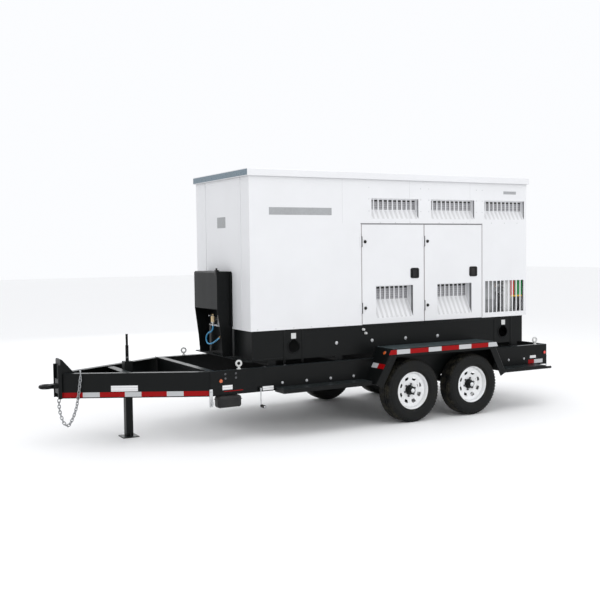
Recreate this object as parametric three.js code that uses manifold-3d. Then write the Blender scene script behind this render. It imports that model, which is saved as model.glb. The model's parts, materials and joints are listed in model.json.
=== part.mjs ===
// Towable diesel generator: a sound-attenuated generator set on its fuel-tank skid, carried by a
// tandem-axle trailer with a lunette-eye tongue, a drop-leg tongue jack and swing-down stabilizers.
//
// Frame: millimetres, +X towards the rear of the trailer, +Z up, near side at -Y (the service side),
// origin on the ground under the middle of the overall length.

import * as THREE from 'three';
import { mergeVertices } from 'three/addons/utils/BufferGeometryUtils.js';
import Module from 'manifold-3d';

const wasm = await Module();
wasm.setup();

// ---------------------------------------------------------------- driving dimensions

const gap = 0.4;                        // clearance between pieces that touch
const near = -1;                        // side signs: the service side and the far side
const far = 1;

const frame = {
  tip: -3200,                           // front of the lunette eye
  nose: -2985,                          // back of the nose plate, where the tongue beams start
  railFront: -1655,                     // where tongue beams meet the rails
  rear: 3005,
  halfWidth: 795,                       // outer face of the rails
  noseHalfWidth: 60,                    // outer face of the tongue beams at the nose
  bottom: 482,
  top: 736,
  web: 8,
  flange: 70,
};

const wheel = { radius: 360, width: 220, rim: 216, plane: 925, frontX: 757, rearX: 1621 };
const fender = { front: 227, frontTop: 453, rearTop: 1920, rear: 2114, top: 858, bottom: 475,
  inner: 716, outer: 1050, sheet: 5, skirt: 92 };
const step = { inner: 797, outer: 1000, top: 515, depth: 46, front: -905, rear: 200 };
const rearStep = { front: 2140, rear: 2800, top: 500 };

const skid = { front: -1125, rear: 2689, halfWidth: 700, bottom: 786, top: 1112, plate: 6,
  tankFront: -480, tankRear: 2190 };
const body = { front: -1135, rear: 2755, halfWidth: 705, bottom: 1112.4, top: 2758, sheet: 4 };
const roof = { overhang: 25, height: 76, sheet: 4 };

const door = { bottom: 1118, top: 2250, width: 868, depth: 25, ventDepth: 106, sillShare: 0.54 };
const doorFrontX = 276;                 // hinge edge of each near door
const doorRearX = 1156;
const seam = 4;                         // gap round a closed door
const latchSize = 118;
const controlDoor = { halfWidth: 360, bottom: 1780, top: 2320, depth: 22 };
const stopButton = { y: -520, z: 2060, stem: 12 };

const jack = { x: -2260, tube: 89, leg: 76, wall: 5, housingBottom: 430, housingTop: 812,
  legTop: 585, foot: 175, crankReach: 150, crankTop: 1088 };
const sideJack = { tube: 60, leg: 48, wall: 4, length: 330, foot: 110, arm: 166, gripEnd: 250 };
const rearJack = { x: 2950, y: 690, z: 565, reach: 150 };
const frontJack = { x: -1090, y: 665, z: 520, reach: 180 };

// ---------------------------------------------------------------- materials

const paint = (color, roughness, metalness) =>
  new THREE.MeshStandardMaterial({ color, roughness, metalness });

const frameBlack = paint(0x191b1b, 0.45, 0.2);
const bodyWhite = paint(0xe9e9ec, 0.4, 0.0);
const rubber = paint(0x1a1a1a, 0.9, 0.0);
const rimWhite = paint(0xf0f1f3, 0.3, 0.1);
const zinc = paint(0xb4b7b8, 0.35, 0.9);
const engineGrey = paint(0x55595c, 0.6, 0.3);
const coreDark = paint(0x232628, 0.7, 0.4);
const hoseBlue = paint(0x2f9fd6, 0.5, 0.0);
const latchBlack = paint(0x111212, 0.5, 0.1);
const panelGrey = paint(0x8d9194, 0.5, 0.3);
const buttonRed = paint(0xc0121a, 0.4, 0.0);

// ---------------------------------------------------------------- making and cutting solids

// A closed mesh whose shared vertices are merged becomes a solid that can be joined and cut.
function solid(geometry) {
  const bare = geometry.index ? geometry.toNonIndexed() : geometry.clone();
  bare.deleteAttribute('normal');
  bare.deleteAttribute('uv');
  const merged = mergeVertices(bare, 1e-3);
  const mesh = new wasm.Mesh({
    numProp: 3,
    vertProperties: new Float32Array(merged.attributes.position.array),
    triVerts: new Uint32Array(merged.index.array),
  });
  mesh.merge();
  return new wasm.Manifold(mesh);
}

const join = (...pieces) => pieces.reduce((whole, piece) => whole.add(piece));
const cut = (whole, ...tools) => tools.reduce((rest, tool) => rest.subtract(tool), whole);

// A box between two corners; the ends of each pair may come in either order.
function block(xa, xb, ya, yb, za, zb) {
  const geometry = new THREE.BoxGeometry(Math.abs(xb - xa), Math.abs(yb - ya), Math.abs(zb - za));
  geometry.translate((xa + xb) / 2, (ya + yb) / 2, (za + zb) / 2);
  return solid(geometry);
}

// An outline pushed along one axis. Outline points are (x, y) for 'z', (x, z) for 'y', (y, z) for 'x'.
function prism(outline, axis, from, to) {
  const low = Math.min(from, to);
  const high = Math.max(from, to);
  const shape = new THREE.Shape(outline.map(([u, v]) => new THREE.Vector2(u, v)));
  const geometry = new THREE.ExtrudeGeometry(shape, { depth: high - low, bevelEnabled: false });
  if (axis === 'z') geometry.translate(0, 0, low);
  if (axis === 'y') geometry.rotateX(Math.PI / 2).translate(0, high, 0);
  if (axis === 'x') {
    const turn = new THREE.Matrix4().makeBasis(
      new THREE.Vector3(0, 1, 0), new THREE.Vector3(0, 0, 1), new THREE.Vector3(1, 0, 0));
    geometry.applyMatrix4(turn).translate(low, 0, 0);
  }
  return solid(geometry);
}

// A round bar between two points.
function bar(a, b, radius, sides = 12) {
  const start = new THREE.Vector3(...a);
  const end = new THREE.Vector3(...b);
  const along = end.clone().sub(start);
  const geometry = new THREE.CylinderGeometry(radius, radius, along.length(), sides);
  const up = new THREE.Vector3(0, 1, 0);
  geometry.applyQuaternion(new THREE.Quaternion().setFromUnitVectors(up, along.normalize()));
  geometry.translate(...start.add(end).multiplyScalar(0.5));
  return solid(geometry);
}

// A profile of (radius, height) points turned about its axis; the axis then points along 'y' or 'z'.
function turned(profile, axis, sides) {
  const points = profile.map(([radius, height]) => new THREE.Vector2(radius, height));
  const geometry = new THREE.LatheGeometry(points, sides);
  if (axis === 'z') geometry.rotateX(Math.PI / 2);
  return solid(geometry);
}

// An arc of points about (cx, cy), used for round corners of outlines.
function arc(cx, cy, radius, fromDegrees, toDegrees, steps) {
  return Array.from({ length: steps + 1 }, (_, i) => {
    const angle = THREE.MathUtils.degToRad(fromDegrees + (toDegrees - fromDegrees) * i / steps);
    return [cx + radius * Math.cos(angle), cy + radius * Math.sin(angle)];
  });
}

const generator = new THREE.Group();

// Turns a finished solid into a named mesh in the given group.
function add(name, piece, material, group = generator) {
  const { vertProperties, triVerts } = piece.getMesh();
  const geometry = new THREE.BufferGeometry();
  geometry.setAttribute('position', new THREE.BufferAttribute(new Float32Array(vertProperties), 3));
  geometry.setIndex(new THREE.BufferAttribute(new Uint32Array(triVerts), 1));
  geometry.computeVertexNormals();
  const mesh = new THREE.Mesh(geometry, material);
  mesh.name = name;
  group.add(mesh);
  return mesh;
}

// ---------------------------------------------------------------- trailer frame

// Outer face of a tongue beam: it leaves the nose plate and widens to the rail at an even slope.
const tongueSlope = (frame.halfWidth - frame.noseHalfWidth) / (frame.railFront - frame.nose);
const tongueOuter = (x) => frame.noseHalfWidth + (x - frame.nose) * tongueSlope;
const tongueStretch = Math.hypot(1, tongueSlope);       // a thickness measured across the slanted beam

// A strip of a tongue beam seen from above, between two depths from its outer face.
function tongueStrip(side, outside, inside, z0, z1) {
  const edge = (x, depth) => [x, side * (tongueOuter(x) - depth * tongueStretch)];
  const x0 = frame.nose + gap;
  const x1 = frame.railFront - gap;
  return prism([edge(x0, outside), edge(x1, outside), edge(x1, inside), edge(x0, inside)], 'z', z0, z1);
}

function tongueBeam(side) {
  const { top, bottom, web, flange } = frame;
  const whole = join(
    tongueStrip(side, 0, web, bottom, top),
    tongueStrip(side, 0, flange, bottom, bottom + 10),
    tongueStrip(side, 0, flange, top - 10, top));
  return cut(whole, block(frame.nose - 50, frame.railFront, 0, -side * 200, 0, 1000),
    block(frame.nose - 50, frame.nose + 150, 0, side * gap, 0, 1000));
}

function rail(side) {
  const { top, bottom, web, flange, halfWidth, railFront, rear } = frame;
  const whole = join(
    block(railFront, rear, side * halfWidth, side * (halfWidth - web), bottom, top),
    block(railFront, rear, side * halfWidth, side * (halfWidth - flange), bottom, bottom + 10),
    block(railFront, rear, side * halfWidth, side * (halfWidth - flange), top - 10, top));
  if (side === far) return whole;
  const { x, z } = frontJack;
  const pivotEar = block(x - 40, x + 40, near * 700, near * (halfWidth - web / 2), z - 30, z + 40);
  return cut(join(whole, pivotEar), bar([x, near * 650, z], [x, near * 900, z], 20));
}

// Vertical channel at the nose: its flanges point forwards and its two gussets rise over the beams.
function nosePlate() {
  const half = 95;
  const crown = 30;
  const peak = 890;
  const face = [[-half, frame.bottom], [half, frame.bottom],
    ...arc(half - crown, peak - crown, crown, 0, 90, 4),
    ...arc(crown - half, peak - crown, crown, 90, 180, 4)];
  const gusset = [[frame.nose - 1, frame.top + gap], [frame.nose + 140, frame.top + gap],
    [frame.nose + 14, peak - 8], [frame.nose - 1, peak - 8]];
  return join(
    prism(face, 'x', frame.nose - 12, frame.nose),
    block(frame.nose - 38, frame.nose - 10, -half, -half + 9, frame.bottom, peak - 60),
    block(frame.nose - 38, frame.nose - 10, half - 9, half, frame.bottom, peak - 60),
    prism(gusset, 'y', -58, -48),
    prism(gusset, 'y', 48, 58));
}

function lunette() {
  const ring = { centre: frame.tip + 78, tube: 20, mean: 58, z: (frame.top + frame.bottom) / 2 };
  const section = arc(ring.mean, 0, ring.tube, 0, 360, 10);
  section[section.length - 1] = section[0];
  const eye = turned(section, 'z', 22).translate([ring.centre, 0, ring.z]);
  const shank = prism([[ring.centre + 50, -34], [frame.nose - 30, -52], [frame.nose - 30, 52],
    [ring.centre + 50, 34]], 'z', ring.z - 22, ring.z + 22);
  const pad = block(frame.nose - 32, frame.nose - 12 - gap, -62, 62, ring.z - 75, ring.z + 75);
  return join(eye, shank, pad);
}

// A cross channel between the two tongue beams that carries the tongue jack.
function jackCrossmember() {
  const x0 = jack.x - 130;
  const x1 = jack.x - jack.tube / 2 - gap;
  const inside = (x) => tongueOuter(x) - (frame.web + gap) * tongueStretch;
  const plan = (xa, xb) => [[xa, -inside(xa)], [xb, -inside(xb)], [xb, inside(xb)], [xa, inside(xa)]];
  const low = frame.bottom + 10 + gap;
  const high = frame.top - 10 - gap;
  return join(prism(plan(x1 - 10, x1), 'z', low, high), prism(plan(x0, x1), 'z', high - 8, high),
    prism(plan(x0, x1), 'z', low, low + 8));
}

function frontCrossmember() {
  const reach = frame.halfWidth - frame.flange - gap;
  const { railFront, top, bottom } = frame;
  return join(
    block(railFront + 4, railFront + 12, -reach, reach, bottom, top),
    block(railFront + 4, railFront + 80, -reach, reach, top - 9, top),
    block(railFront + 4, railFront + 80, -reach, reach, bottom, bottom + 9));
}

// Rear closing plate with a channel behind it and holes for the two stabilizer cranks.
function rearCrossmember() {
  const { rear, halfWidth, top, bottom } = frame;
  const reach = 290;                    // leaves the swing of the stabilizers clear
  const plate = block(rear + gap, rear + 12, -halfWidth, halfWidth, bottom, top);
  const { y, z } = rearJack;
  const ears = [near, far].map((side) =>
    block(rearJack.x + 34, rear + 2, side * (y - 40), side * (y + 34), z - 40, z + 40));
  const holes = [near, far].map((side) => bar([rear - 50, side * y, z], [rear + 50, side * y, z], 20));
  return join(cut(join(plate, ...ears), ...holes),
    block(rear - 60, rear + 2, -reach, reach, top - 9, top),
    block(rear - 60, rear + 2, -reach, reach, bottom, bottom + 9));
}

function buildFrame() {
  for (const [name, side] of [['near', near], ['far', far]]) {
    add(`rail_${name}`, rail(side), frameBlack);
    add(`tongue_beam_${name}`, tongueBeam(side), frameBlack);
  }
  add('nose_plate', nosePlate(), frameBlack);
  add('lunette_eye', lunette(), frameBlack);
  add('jack_crossmember', jackCrossmember(), frameBlack);
  add('front_crossmember', frontCrossmember(), frameBlack);
  add('rear_crossmember', rearCrossmember(), frameBlack);
}

// ---------------------------------------------------------------- safety chain

// The chain hangs in a loop from an eye under the nose to its hook on the near tongue beam.
const chainRoute = [[-3008, -52, 476], [-3010, -56, 438], [-3010, -64, 388], [-3005, -76, 337],
  [-2995, -89, 288], [-2981, -103, 244], [-2965, -117, 219], [-2947, -130, 209], [-2924, -142, 233],
  [-2899, -151, 282], [-2878, -158, 338], [-2860, -162, 399], [-2847, -166, 465], [-2838, -171, 530],
  [-2828, -177, 609], [-2820, -181, 680], [-2817, -183, 714]];

function chain() {
  const curve = new THREE.CatmullRomCurve3(chainRoute.map((point) => new THREE.Vector3(...point)));
  const section = new THREE.Shape(arc(0, 0, 16, 0, 315, 7).map(([u, v]) => new THREE.Vector2(u, v)));
  return solid(new THREE.ExtrudeGeometry(section, { steps: 28, extrudePath: curve }));
}

// ---------------------------------------------------------------- tongue jack

function squareTube(half, wall, z0, z1) {
  return cut(block(-half, half, -half, half, z0, z1),
    block(wall - half, half - wall, wall - half, half - wall, z0 - 1, z1 + 1));
}

function buildTongueJack() {
  const group = new THREE.Group();
  group.position.x = jack.x;
  generator.add(group);
  const half = jack.tube / 2;
  const cap = cut(block(-half, half, -half, half, jack.housingTop - 10, jack.housingTop),
    bar([0, 0, 700], [0, 0, 900], 14));
  const lugs = block(half - 1, half + 14, -14, 14, 470, 560);
  add('jack_housing', join(squareTube(half, jack.wall, jack.housingBottom, jack.housingTop - 9), cap, lugs),
    frameBlack, group);

  const gusset = [[-80, 9], [80, 9], [38, 55], [-38, 55]];
  const inside = jack.leg / 2 - 1;
  const web = cut(prism(gusset, 'x', -4, 4), block(-9, 9, -inside, inside, 9, 60));
  add('jack_leg', join(squareTube(jack.leg / 2, jack.wall, 8, jack.legTop),
    block(-jack.foot / 2, jack.foot / 2, -jack.foot / 2, jack.foot / 2, 0, 10), web), frameBlack, group);

  // The crank turns its screw inside the leg; its arm points away and its grip stands upright.
  const reachX = jack.crankReach * 0.316;
  const reachY = jack.crankReach * 0.949;
  const arm = jack.housingTop + 26;
  add('jack_crank', join(
    bar([0, 0, 460], [0, 0, arm], 10),
    bar([0, 0, jack.housingTop + 1], [0, 0, arm + 10], 18),
    bar([0, 0, arm], [reachX, reachY, arm], 11),
    bar([reachX, reachY, arm - 11], [reachX, reachY, 965], 18),
    bar([reachX, reachY, arm], [reachX, reachY, jack.crankTop], 13)), frameBlack, group);
}

// ---------------------------------------------------------------- swing-down stabilizers

// A stabilizer is made about its head at the origin: tube along +Z, crank shaft along +X and crank arm
// towards armSide along Y. Its group then stows it: shaft and tube are unit vectors of the trailer.
function buildStabilizer(name, place, shaft, tubeWay, armSide, reach) {
  const group = new THREE.Group();
  const x = new THREE.Vector3(...shaft);
  const z = new THREE.Vector3(...tubeWay);
  const y = z.clone().cross(x);
  group.position.set(...place);
  group.quaternion.setFromRotationMatrix(new THREE.Matrix4().makeBasis(x, y, z));
  generator.add(group);

  const { tube, leg, wall, length, foot, arm, gripEnd } = sideJack;
  const back = 36;
  const plug = block(-tube / 2 + 1, tube / 2 - 1, -tube / 2 + 1, tube / 2 - 1, -back, -back + 5);
  add(`${name}_tube`, cut(join(squareTube(tube / 2, wall, -back, length), plug),
    bar([0, 0, 0], [60, 0, 0], 12)), frameBlack, group);
  add(`${name}_leg`, join(squareTube(leg / 2, wall, 40, length + 10),
    block(-foot / 2, foot / 2, -34, 34, length + 8, length + 16)), frameBlack, group);
  const end = armSide * reach;
  add(`${name}_crank`, join(
    bar([-20, 0, 0], [arm + 7, 0, 0], 9),
    bar([arm, 0, 0], [arm, end, 0], 7),
    bar([arm - 7, end, 0], [gripEnd, end, 0], 10)), zinc, group);
}

function buildStabilizers() {
  for (const [name, side] of [['near', near], ['far', far]]) {
    buildStabilizer(`rear_jack_${name}`, [rearJack.x, side * rearJack.y, rearJack.z], [1, 0, 0],
      [0, -side, 0], -side, rearJack.reach);
  }
  buildStabilizer('front_jack', [frontJack.x, near * frontJack.y, frontJack.z], [0, near, 0], [1, 0, 0], 1,
    frontJack.reach);
}

// ---------------------------------------------------------------- axles, wheels, fenders and steps

// Axle tube with its two leaf-spring packs, which hang from the rails by their hangers.
function axle() {
  const springY = 757;
  const springHalf = 330;
  const packs = [near, far].flatMap((side) => {
    const ya = side * (springY - 28);
    const yb = side * (springY + 22);
    const leaf = [[-springHalf, 62], [-150, 44], [150, 44], [springHalf, 62], [springHalf, 76], [150, 92],
      [-150, 92], [-springHalf, 76]];
    return [
      prism(leaf, 'y', ya, yb),
      block(-springHalf - 10, -springHalf + 40, ya, yb, 60, 121.5),
      block(springHalf - 40, springHalf + 10, ya, yb, 60, 121.5),
      block(-60, 60, ya, yb, 20, 60)];
  });
  return join(bar([0, -880, 0], [0, 880, 0], 38, 16), ...packs);
}

// Hollow tyre casing about Y, with flats at the ground; its inner side is open to the rim.
function tyre() {
  const sides = 28;
  const half = wheel.width / 2;
  const tread = wheel.radius / Math.cos(Math.PI / sides);
  const wall = 14;
  const bead = wheel.rim + 1;
  const outside = [[bead, -half + 24], [284, -half], [tread - 30, -half + 8], [tread, -half + 30],
    [tread, half - 30], [tread - 30, half - 8], [284, half], [bead, half - 24]];
  const inside = [[bead + 6, half - 38], [280, half - wall], [tread - 26, half - 34],
    [tread - 26, 34 - half], [280, wall - half], [bead + 6, 38 - half]];
  const ring = turned([...outside, ...inside, outside[0]], 'y', sides);
  return ring.rotate([0, 180 / sides, 0]);
}

// Steel rim about Y, outboard towards -Y: lipped barrel, a dished disc and eight windows.
function rim() {
  const sides = 20;
  const lip = wheel.rim - 1;
  const half = 80;
  const profile = [[58, -12], [88, -14], [100, -20], [116, -14], [158, -34], [lip - 24, -40],
    [lip - 18, -66], [lip, -half], [lip, -half + 5], [lip - 12, -58], [lip - 18, 58], [lip, half - 5],
    [lip, half], [lip - 22, 60], [lip - 26, -30], [158, -26], [116, -6], [100, -12], [88, -6], [58, -4]];
  const ring = turned([...profile, profile[0]], 'y', sides);
  const windows = Array.from({ length: 8 }, (_, i) =>
    block(120, 150, -18, 18, -30, 60).rotate([90, 0, 0]).rotate([0, 45 * i + 22.5, 0]));
  return cut(ring, ...windows);
}

function buildRunningGear() {
  for (const [end, x] of [['front', wheel.frontX], ['rear', wheel.rearX]]) {
    const group = new THREE.Group();
    group.position.set(x, 0, wheel.radius);
    generator.add(group);
    add(`axle_${end}`, axle(), frameBlack, group);
    for (const [name, side] of [['near', near], ['far', far]]) {
      const tyreMesh = add(`tyre_${end}_${name}`, tyre(), rubber, group);
      const rimMesh = add(`rim_${end}_${name}`, rim(), rimWhite, group);
      tyreMesh.position.y = side * wheel.plane;
      rimMesh.position.y = side * wheel.plane;
      rimMesh.rotation.z = side === far ? Math.PI : 0;
    }
  }
}

// Folded sheet over both wheels: top and two slopes, with a skirt along the outer edge.
function fenderSide(side) {
  const { front, frontTop, rearTop, rear, top, bottom, inner, outer, sheet, skirt } = fender;
  const ridge = [[front, bottom], [frontTop, top], [rearTop, top], [rear, bottom]];
  const skinInside = [[rear - sheet * 1.2, bottom], [rearTop - 3, top - sheet], [frontTop + 3, top - sheet],
    [front + sheet * 1.2, bottom]];
  const skirtInside = [[rear - 128, bottom], [rearTop - 62, top - skirt], [frontTop + 62, top - skirt],
    [front + 134, bottom]];
  const railZone = block(0, 2600, side * 600, side * (frame.halfWidth + gap), 0, frame.top + gap);
  return cut(join(
    prism([...ridge, ...skinInside], 'y', side * inner, side * outer),
    prism([...ridge, ...skirtInside], 'y', side * (outer - sheet), side * outer)), railZone);
}

// Running board: a tread plate with a lip turned down all round its outer edges.
function board(side, front, rear, top, depth) {
  const { inner, outer } = step;
  return cut(block(front, rear, side * inner, side * outer, top - depth, top),
    block(front + 6, rear - 6, side * (inner - 5), side * (outer - 6), top - depth - 1, top - 6));
}

function buildFendersAndSteps() {
  for (const [name, side] of [['near', near], ['far', far]]) {
    add(`fender_${name}`, fenderSide(side), frameBlack);
    add(`side_step_${name}`, board(side, step.front, step.rear, step.top, step.depth), frameBlack);
    const tube = bar([rearStep.front + 10, side * (step.outer - 18), rearStep.top - 30],
      [rearStep.rear + 30, side * (step.outer - 18), rearStep.top - 30], 17, 14);
    add(`rear_step_${name}`, join(board(side, rearStep.front, rearStep.rear, rearStep.top, 32), tube),
      frameBlack);
  }
}

// ---------------------------------------------------------------- skid tank

const filler = { x: 1500, y: -600, radius: 42 };

// Fuel-tank skid: a closed tank between two open-bottomed bays with lifting holes in their sides.
function skidTank() {
  const { front, rear, halfWidth, bottom, top, plate, tankFront, tankRear } = skid;
  const inside = halfWidth - plate;
  const shell = block(front, rear, -halfWidth, halfWidth, bottom, top);
  const tank = block(tankFront + plate, tankRear - plate, -inside, inside, bottom + plate, top - plate);
  const bays = [[front + plate, tankFront - plate], [tankRear + plate, rear - plate]].map(([xa, xb]) =>
    block(xa, xb, -inside, inside, bottom - 1, top - plate));
  const neck = bar([filler.x, filler.y, top - 40], [filler.x, filler.y, top + 40], filler.radius - 8, 16);
  const liftHoles = [skid.front + 510, skid.rear - 320].map((x) =>
    bar([x, -halfWidth - 10, bottom + 140], [x, halfWidth + 10, bottom + 140], 70, 20));
  const collar = cut(bar([filler.x, filler.y, top - 3], [filler.x, filler.y, top + 30], filler.radius, 20),
    neck);
  const feet = [front + 240, -40, 900, 1800, rear - 130].map((x) =>
    block(x - 45, x + 45, -halfWidth, halfWidth, frame.top + gap, bottom + 2));
  const lip = block(front - 55, front + 2, -halfWidth, halfWidth, bottom, bottom + 12);
  return join(cut(shell, tank, ...bays, neck, ...liftHoles), collar, lip, ...feet);
}

function fuelCap() {
  const grip = block(-filler.radius + 12, filler.radius - 12, -7, 7, 47, 62);
  const rim = filler.radius + 8;
  return join(turned([[0, 31], [rim, 31], [rim, 48], [0, 48]], 'z', 20), grip);
}

// ---------------------------------------------------------------- enclosure

// A recessed louvre cassette for the near (-1) or far (1) wall: a back grille with upright slots,
// over a sheet that slopes out to the wall at the bottom.
function cassette(side, x0, x1, z0, z1, columns, depth, sillShare) {
  const face = side * body.halfWidth;
  const back = face - side * depth;
  const t = 4;
  const sill = z0 + (z1 - z0) * sillShare;
  const outer = [[face, z0 - t], [back - side * t, sill], [back - side * t, z1 + t], [face, z1 + t]];
  const inner = [[face + side, z0], [back, sill + 2], [back, z1], [face + side, z1]];
  const pitch = (x1 - x0) / columns;
  const slots = Array.from({ length: columns }, (_, i) => {
    const middle = x0 + pitch * (i + 0.5);
    return block(middle - pitch * 0.36, middle + pitch * 0.36, back + side, back - side * (t + 1),
      sill + 12, z1 - 12);
  });
  return {
    walls: prism(outer, 'x', x0 - t, x1 + t),
    hollow: join(prism(inner, 'x', x0, x1), ...slots),
  };
}

const upperVents = [[410, 1070, 2312], [1255, 1911, 2312], [2069, 2717, 2312]];
const ventTop = 2545;
const upperVentDepth = 58;
const upperSillShare = 0.42;
const cableWindow = { x0: 2073, x1: 2717, z0: 1172, z1: 1560, columns: 10 };

function wallSlots(side, { x0, x1, z0, z1, columns }) {
  const pitch = (x1 - x0) / columns;
  return Array.from({ length: columns }, (_, i) => {
    const middle = x0 + pitch * (i + 0.5);
    return block(middle - pitch * 0.38, middle + pitch * 0.38, side * (body.halfWidth - 20),
      side * (body.halfWidth + 20), z0, z1);
  });
}

function enclosureShell() {
  const { front, rear, halfWidth, bottom, top, sheet } = body;
  const ceiling = top + roof.height - roof.sheet - gap;
  const walls = cut(block(front, rear, -halfWidth, halfWidth, bottom, ceiling),
    block(front + sheet, rear - sheet, sheet - halfWidth, halfWidth - sheet, bottom - 1, ceiling + 1));
  const vents = [near, far].flatMap((side) => upperVents.map(([x0, x1, z0]) =>
    cassette(side, x0, x1, z0, ventTop, 10, upperVentDepth, upperSillShare)));
  const doorHole = (side, x0, x1) => block(x0, x1, side * (halfWidth - 20), side * (halfWidth + 20),
    bottom - 5, door.top + seam);
  const post = doorRearX - 2;
  const postPiece = join(block(post - 20, post + 20, -675, -640, bottom, door.top + 50),
    block(post - 20, post + 20, sheet / 2 - halfWidth, -640, door.top + seam + 2, door.top + 50));
  const bulkhead = cut(block(-92, -88, sheet / 2 - halfWidth, halfWidth - sheet / 2, 2480, ceiling - 100),
    block(-120, -60, -380, -180, 2440, 2720));
  const { halfWidth: controlHalf, bottom: controlBottom, top: controlTop } = controlDoor;
  return cut(join(walls, postPiece, bulkhead, ...vents.map(({ walls: piece }) => piece)),
    ...vents.map(({ hollow }) => hollow),
    doorHole(near, doorFrontX - seam, doorRearX + door.width + seam),
    doorHole(far, doorFrontX - seam, doorFrontX + door.width + seam),
    ...wallSlots(near, cableWindow),
    block(rear - 20, rear + 20, -controlHalf - seam, controlHalf + seam, controlBottom - seam,
      controlTop + seam),
    bar([rear - 20, stopButton.y, stopButton.z], [rear + 20, stopButton.y, stopButton.z],
      stopButton.stem + 1));
}

// Roof: a shallow pan with turned-down edges and a slotted air outlet above the front chamber.
function roofPan() {
  const { overhang, height, sheet } = roof;
  const { front, rear, halfWidth, top } = body;
  const side = halfWidth + overhang;
  const edge = [[-side, top], [side, top], [side, top + height - 6], [side - 10, top + height],
    [10 - side, top + height], [-side, top + height - 6]];
  const inner = side - sheet;
  const outlets = Array.from({ length: 8 }, (_, i) => {
    const x = front + 170 + 100 * i;
    return block(x, x + 60, -460, 460, top, top + height + 10);
  });
  return cut(prism(edge, 'x', front - overhang, rear + overhang),
    block(front - overhang + sheet, rear + overhang - sheet, -inner, inner, top - 1, top + height - sheet),
    ...outlets);
}

// Door: a sheet pan with a recessed louvre cassette low down. It is made in place, shut.
function sideDoor(side, hingeX) {
  const x0 = hingeX;
  const x1 = hingeX + door.width;
  const face = side * body.halfWidth;
  const pan = cut(block(x0, x1, face, face - side * door.depth, door.bottom, door.top),
    block(x0 + 4, x1 - 4, face - side * 4, face - side * (door.depth + 1), door.bottom + 4, door.top - 4));
  const vent = cassette(side, x0 + 188, x0 + 710, 1176, 1548, 8, door.ventDepth, door.sillShare);
  const tray = block(x0 + 734 - latchSize / 2, x0 + 734 + latchSize / 2, face + side * 3, face - side * 3,
    1685 - latchSize / 2, 1685 + latchSize / 2);
  return cut(join(pan, vent.walls, tray), vent.hollow);
}

// Paddle of a flush latch; it turns about its edge nearest the hinge side of the door.
function paddle(side, hingeX) {
  const x = hingeX + 734;
  const face = side * (body.halfWidth + 3 + gap);
  const z = 1685;
  return join(block(x - 36, x + 40, face, face + side * 7, z - 44, z + 44),
    block(x + 30, x + 40, face, face + side * 13, z - 44, z + 44));
}

function rearDoor() {
  const { halfWidth, bottom, top, depth } = controlDoor;
  const face = body.rear;
  const pan = cut(block(face - depth, face, -halfWidth, halfWidth, bottom, top),
    block(face - depth - 1, face - 4, 4 - halfWidth, halfWidth - 4, bottom + 4, top - 4));
  const handle = block(face - 2, face + 12, -halfWidth + 40, -halfWidth + 70, 2000, 2110);
  const window = block(face - 10, face + 10, -120, 140, 2080, 2240);
  return cut(join(pan, handle), window);
}

function buildEnclosure() {
  add('skid_tank', skidTank(), frameBlack);
  const capMesh = add('fuel_cap', fuelCap(), latchBlack);
  capMesh.position.set(filler.x, filler.y, skid.top);
  add('enclosure_shell', enclosureShell(), bodyWhite);
  add('roof', roofPan(), bodyWhite);
  const doors = [['front', near, doorFrontX], ['rear', near, doorRearX], ['far', far, doorFrontX]];
  for (const [name, side, hingeX] of doors) {
    add(`door_${name}`, sideDoor(side, hingeX), bodyWhite);
    add(`latch_${name}`, paddle(side, hingeX), latchBlack);
  }
  add('control_door', rearDoor(), bodyWhite);
}

// ---------------------------------------------------------------- service guard on the front wall

const guard = { front: -1312, back: body.front - gap, near: -245, far: 385, top: 1745, coverBottom: 1330,
  waist: 1020, foot: 812, waistFront: -1272, footFront: -1256, sheet: 4 };

// Folded cover over the coolant drain: closed above, open at the front below its cover.
function serviceGuard() {
  const { front, back, top, coverBottom, waist, foot, waistFront, footFront, sheet } = guard;
  const outline = [[front, top - 14], [front + 14, top], [back, top], [back, foot], [footFront, foot],
    [waistFront, waist], [front, coverBottom]];
  const inner = [[front + sheet, top - 14], [front + 14, top - sheet], [back + 1, top - sheet],
    [back + 1, foot - 1], [footFront - 40, foot - 1], [waistFront - 40, waist], [front - 40, coverBottom],
    [front + sheet, coverBottom]];
  const hollow = prism(inner, 'y', guard.near + sheet, guard.far - sheet);
  const clip = block(front + 2, front + 30, guard.near + 2, guard.near + 60, top - 2, top + 16);
  const backPlate = block(back - sheet, back, guard.near + 1, guard.far - 1, body.bottom + 20, top - 1);
  return join(cut(prism(outline, 'y', guard.near, guard.far), hollow), clip, backPlate);
}

const valve = { x: -1215, y: 93, z: 1210 };
const hoseRoute = [[-1215, 93, 1146], [-1215, 94, 1120], [-1215, 101, 1096], [-1216, 118, 1076],
  [-1217, 146, 1061], [-1218, 184, 1050], [-1219, 222, 1037], [-1220, 256, 1016], [-1220, 277, 988],
  [-1220, 280, 958], [-1220, 264, 932], [-1220, 234, 918], [-1219, 196, 915], [-1218, 150, 921],
  [-1218, 100, 934], [-1218, 45, 952], [-1217, -10, 974], [-1216, -60, 997], [-1215, -105, 1018]];

// Drain valve: body on a pipe from the front wall, a brass-ended lever and a downward hose spigot.
function drainValve() {
  const { x, y, z } = valve;
  return join(
    bar([guard.back - guard.sheet - gap, y, z], [x - 10, y, z], 16),
    bar([x, y, z + 34], [x, y, z - 46], 24, 14),
    bar([x, y, z - 40], [x, y, z - 62], 11),
    block(x - 50, x + 4, y - 9, y + 9, z + 30, z + 40));
}

function hose() {
  const curve = new THREE.CatmullRomCurve3(hoseRoute.map((point) => new THREE.Vector3(...point)));
  const section = new THREE.Shape(arc(0, 0, 9, 0, 315, 7).map(([u, v]) => new THREE.Vector2(u, v)));
  return solid(new THREE.ExtrudeGeometry(section, { steps: 26, extrudePath: curve }));
}

// ---------------------------------------------------------------- generator set inside

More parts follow.
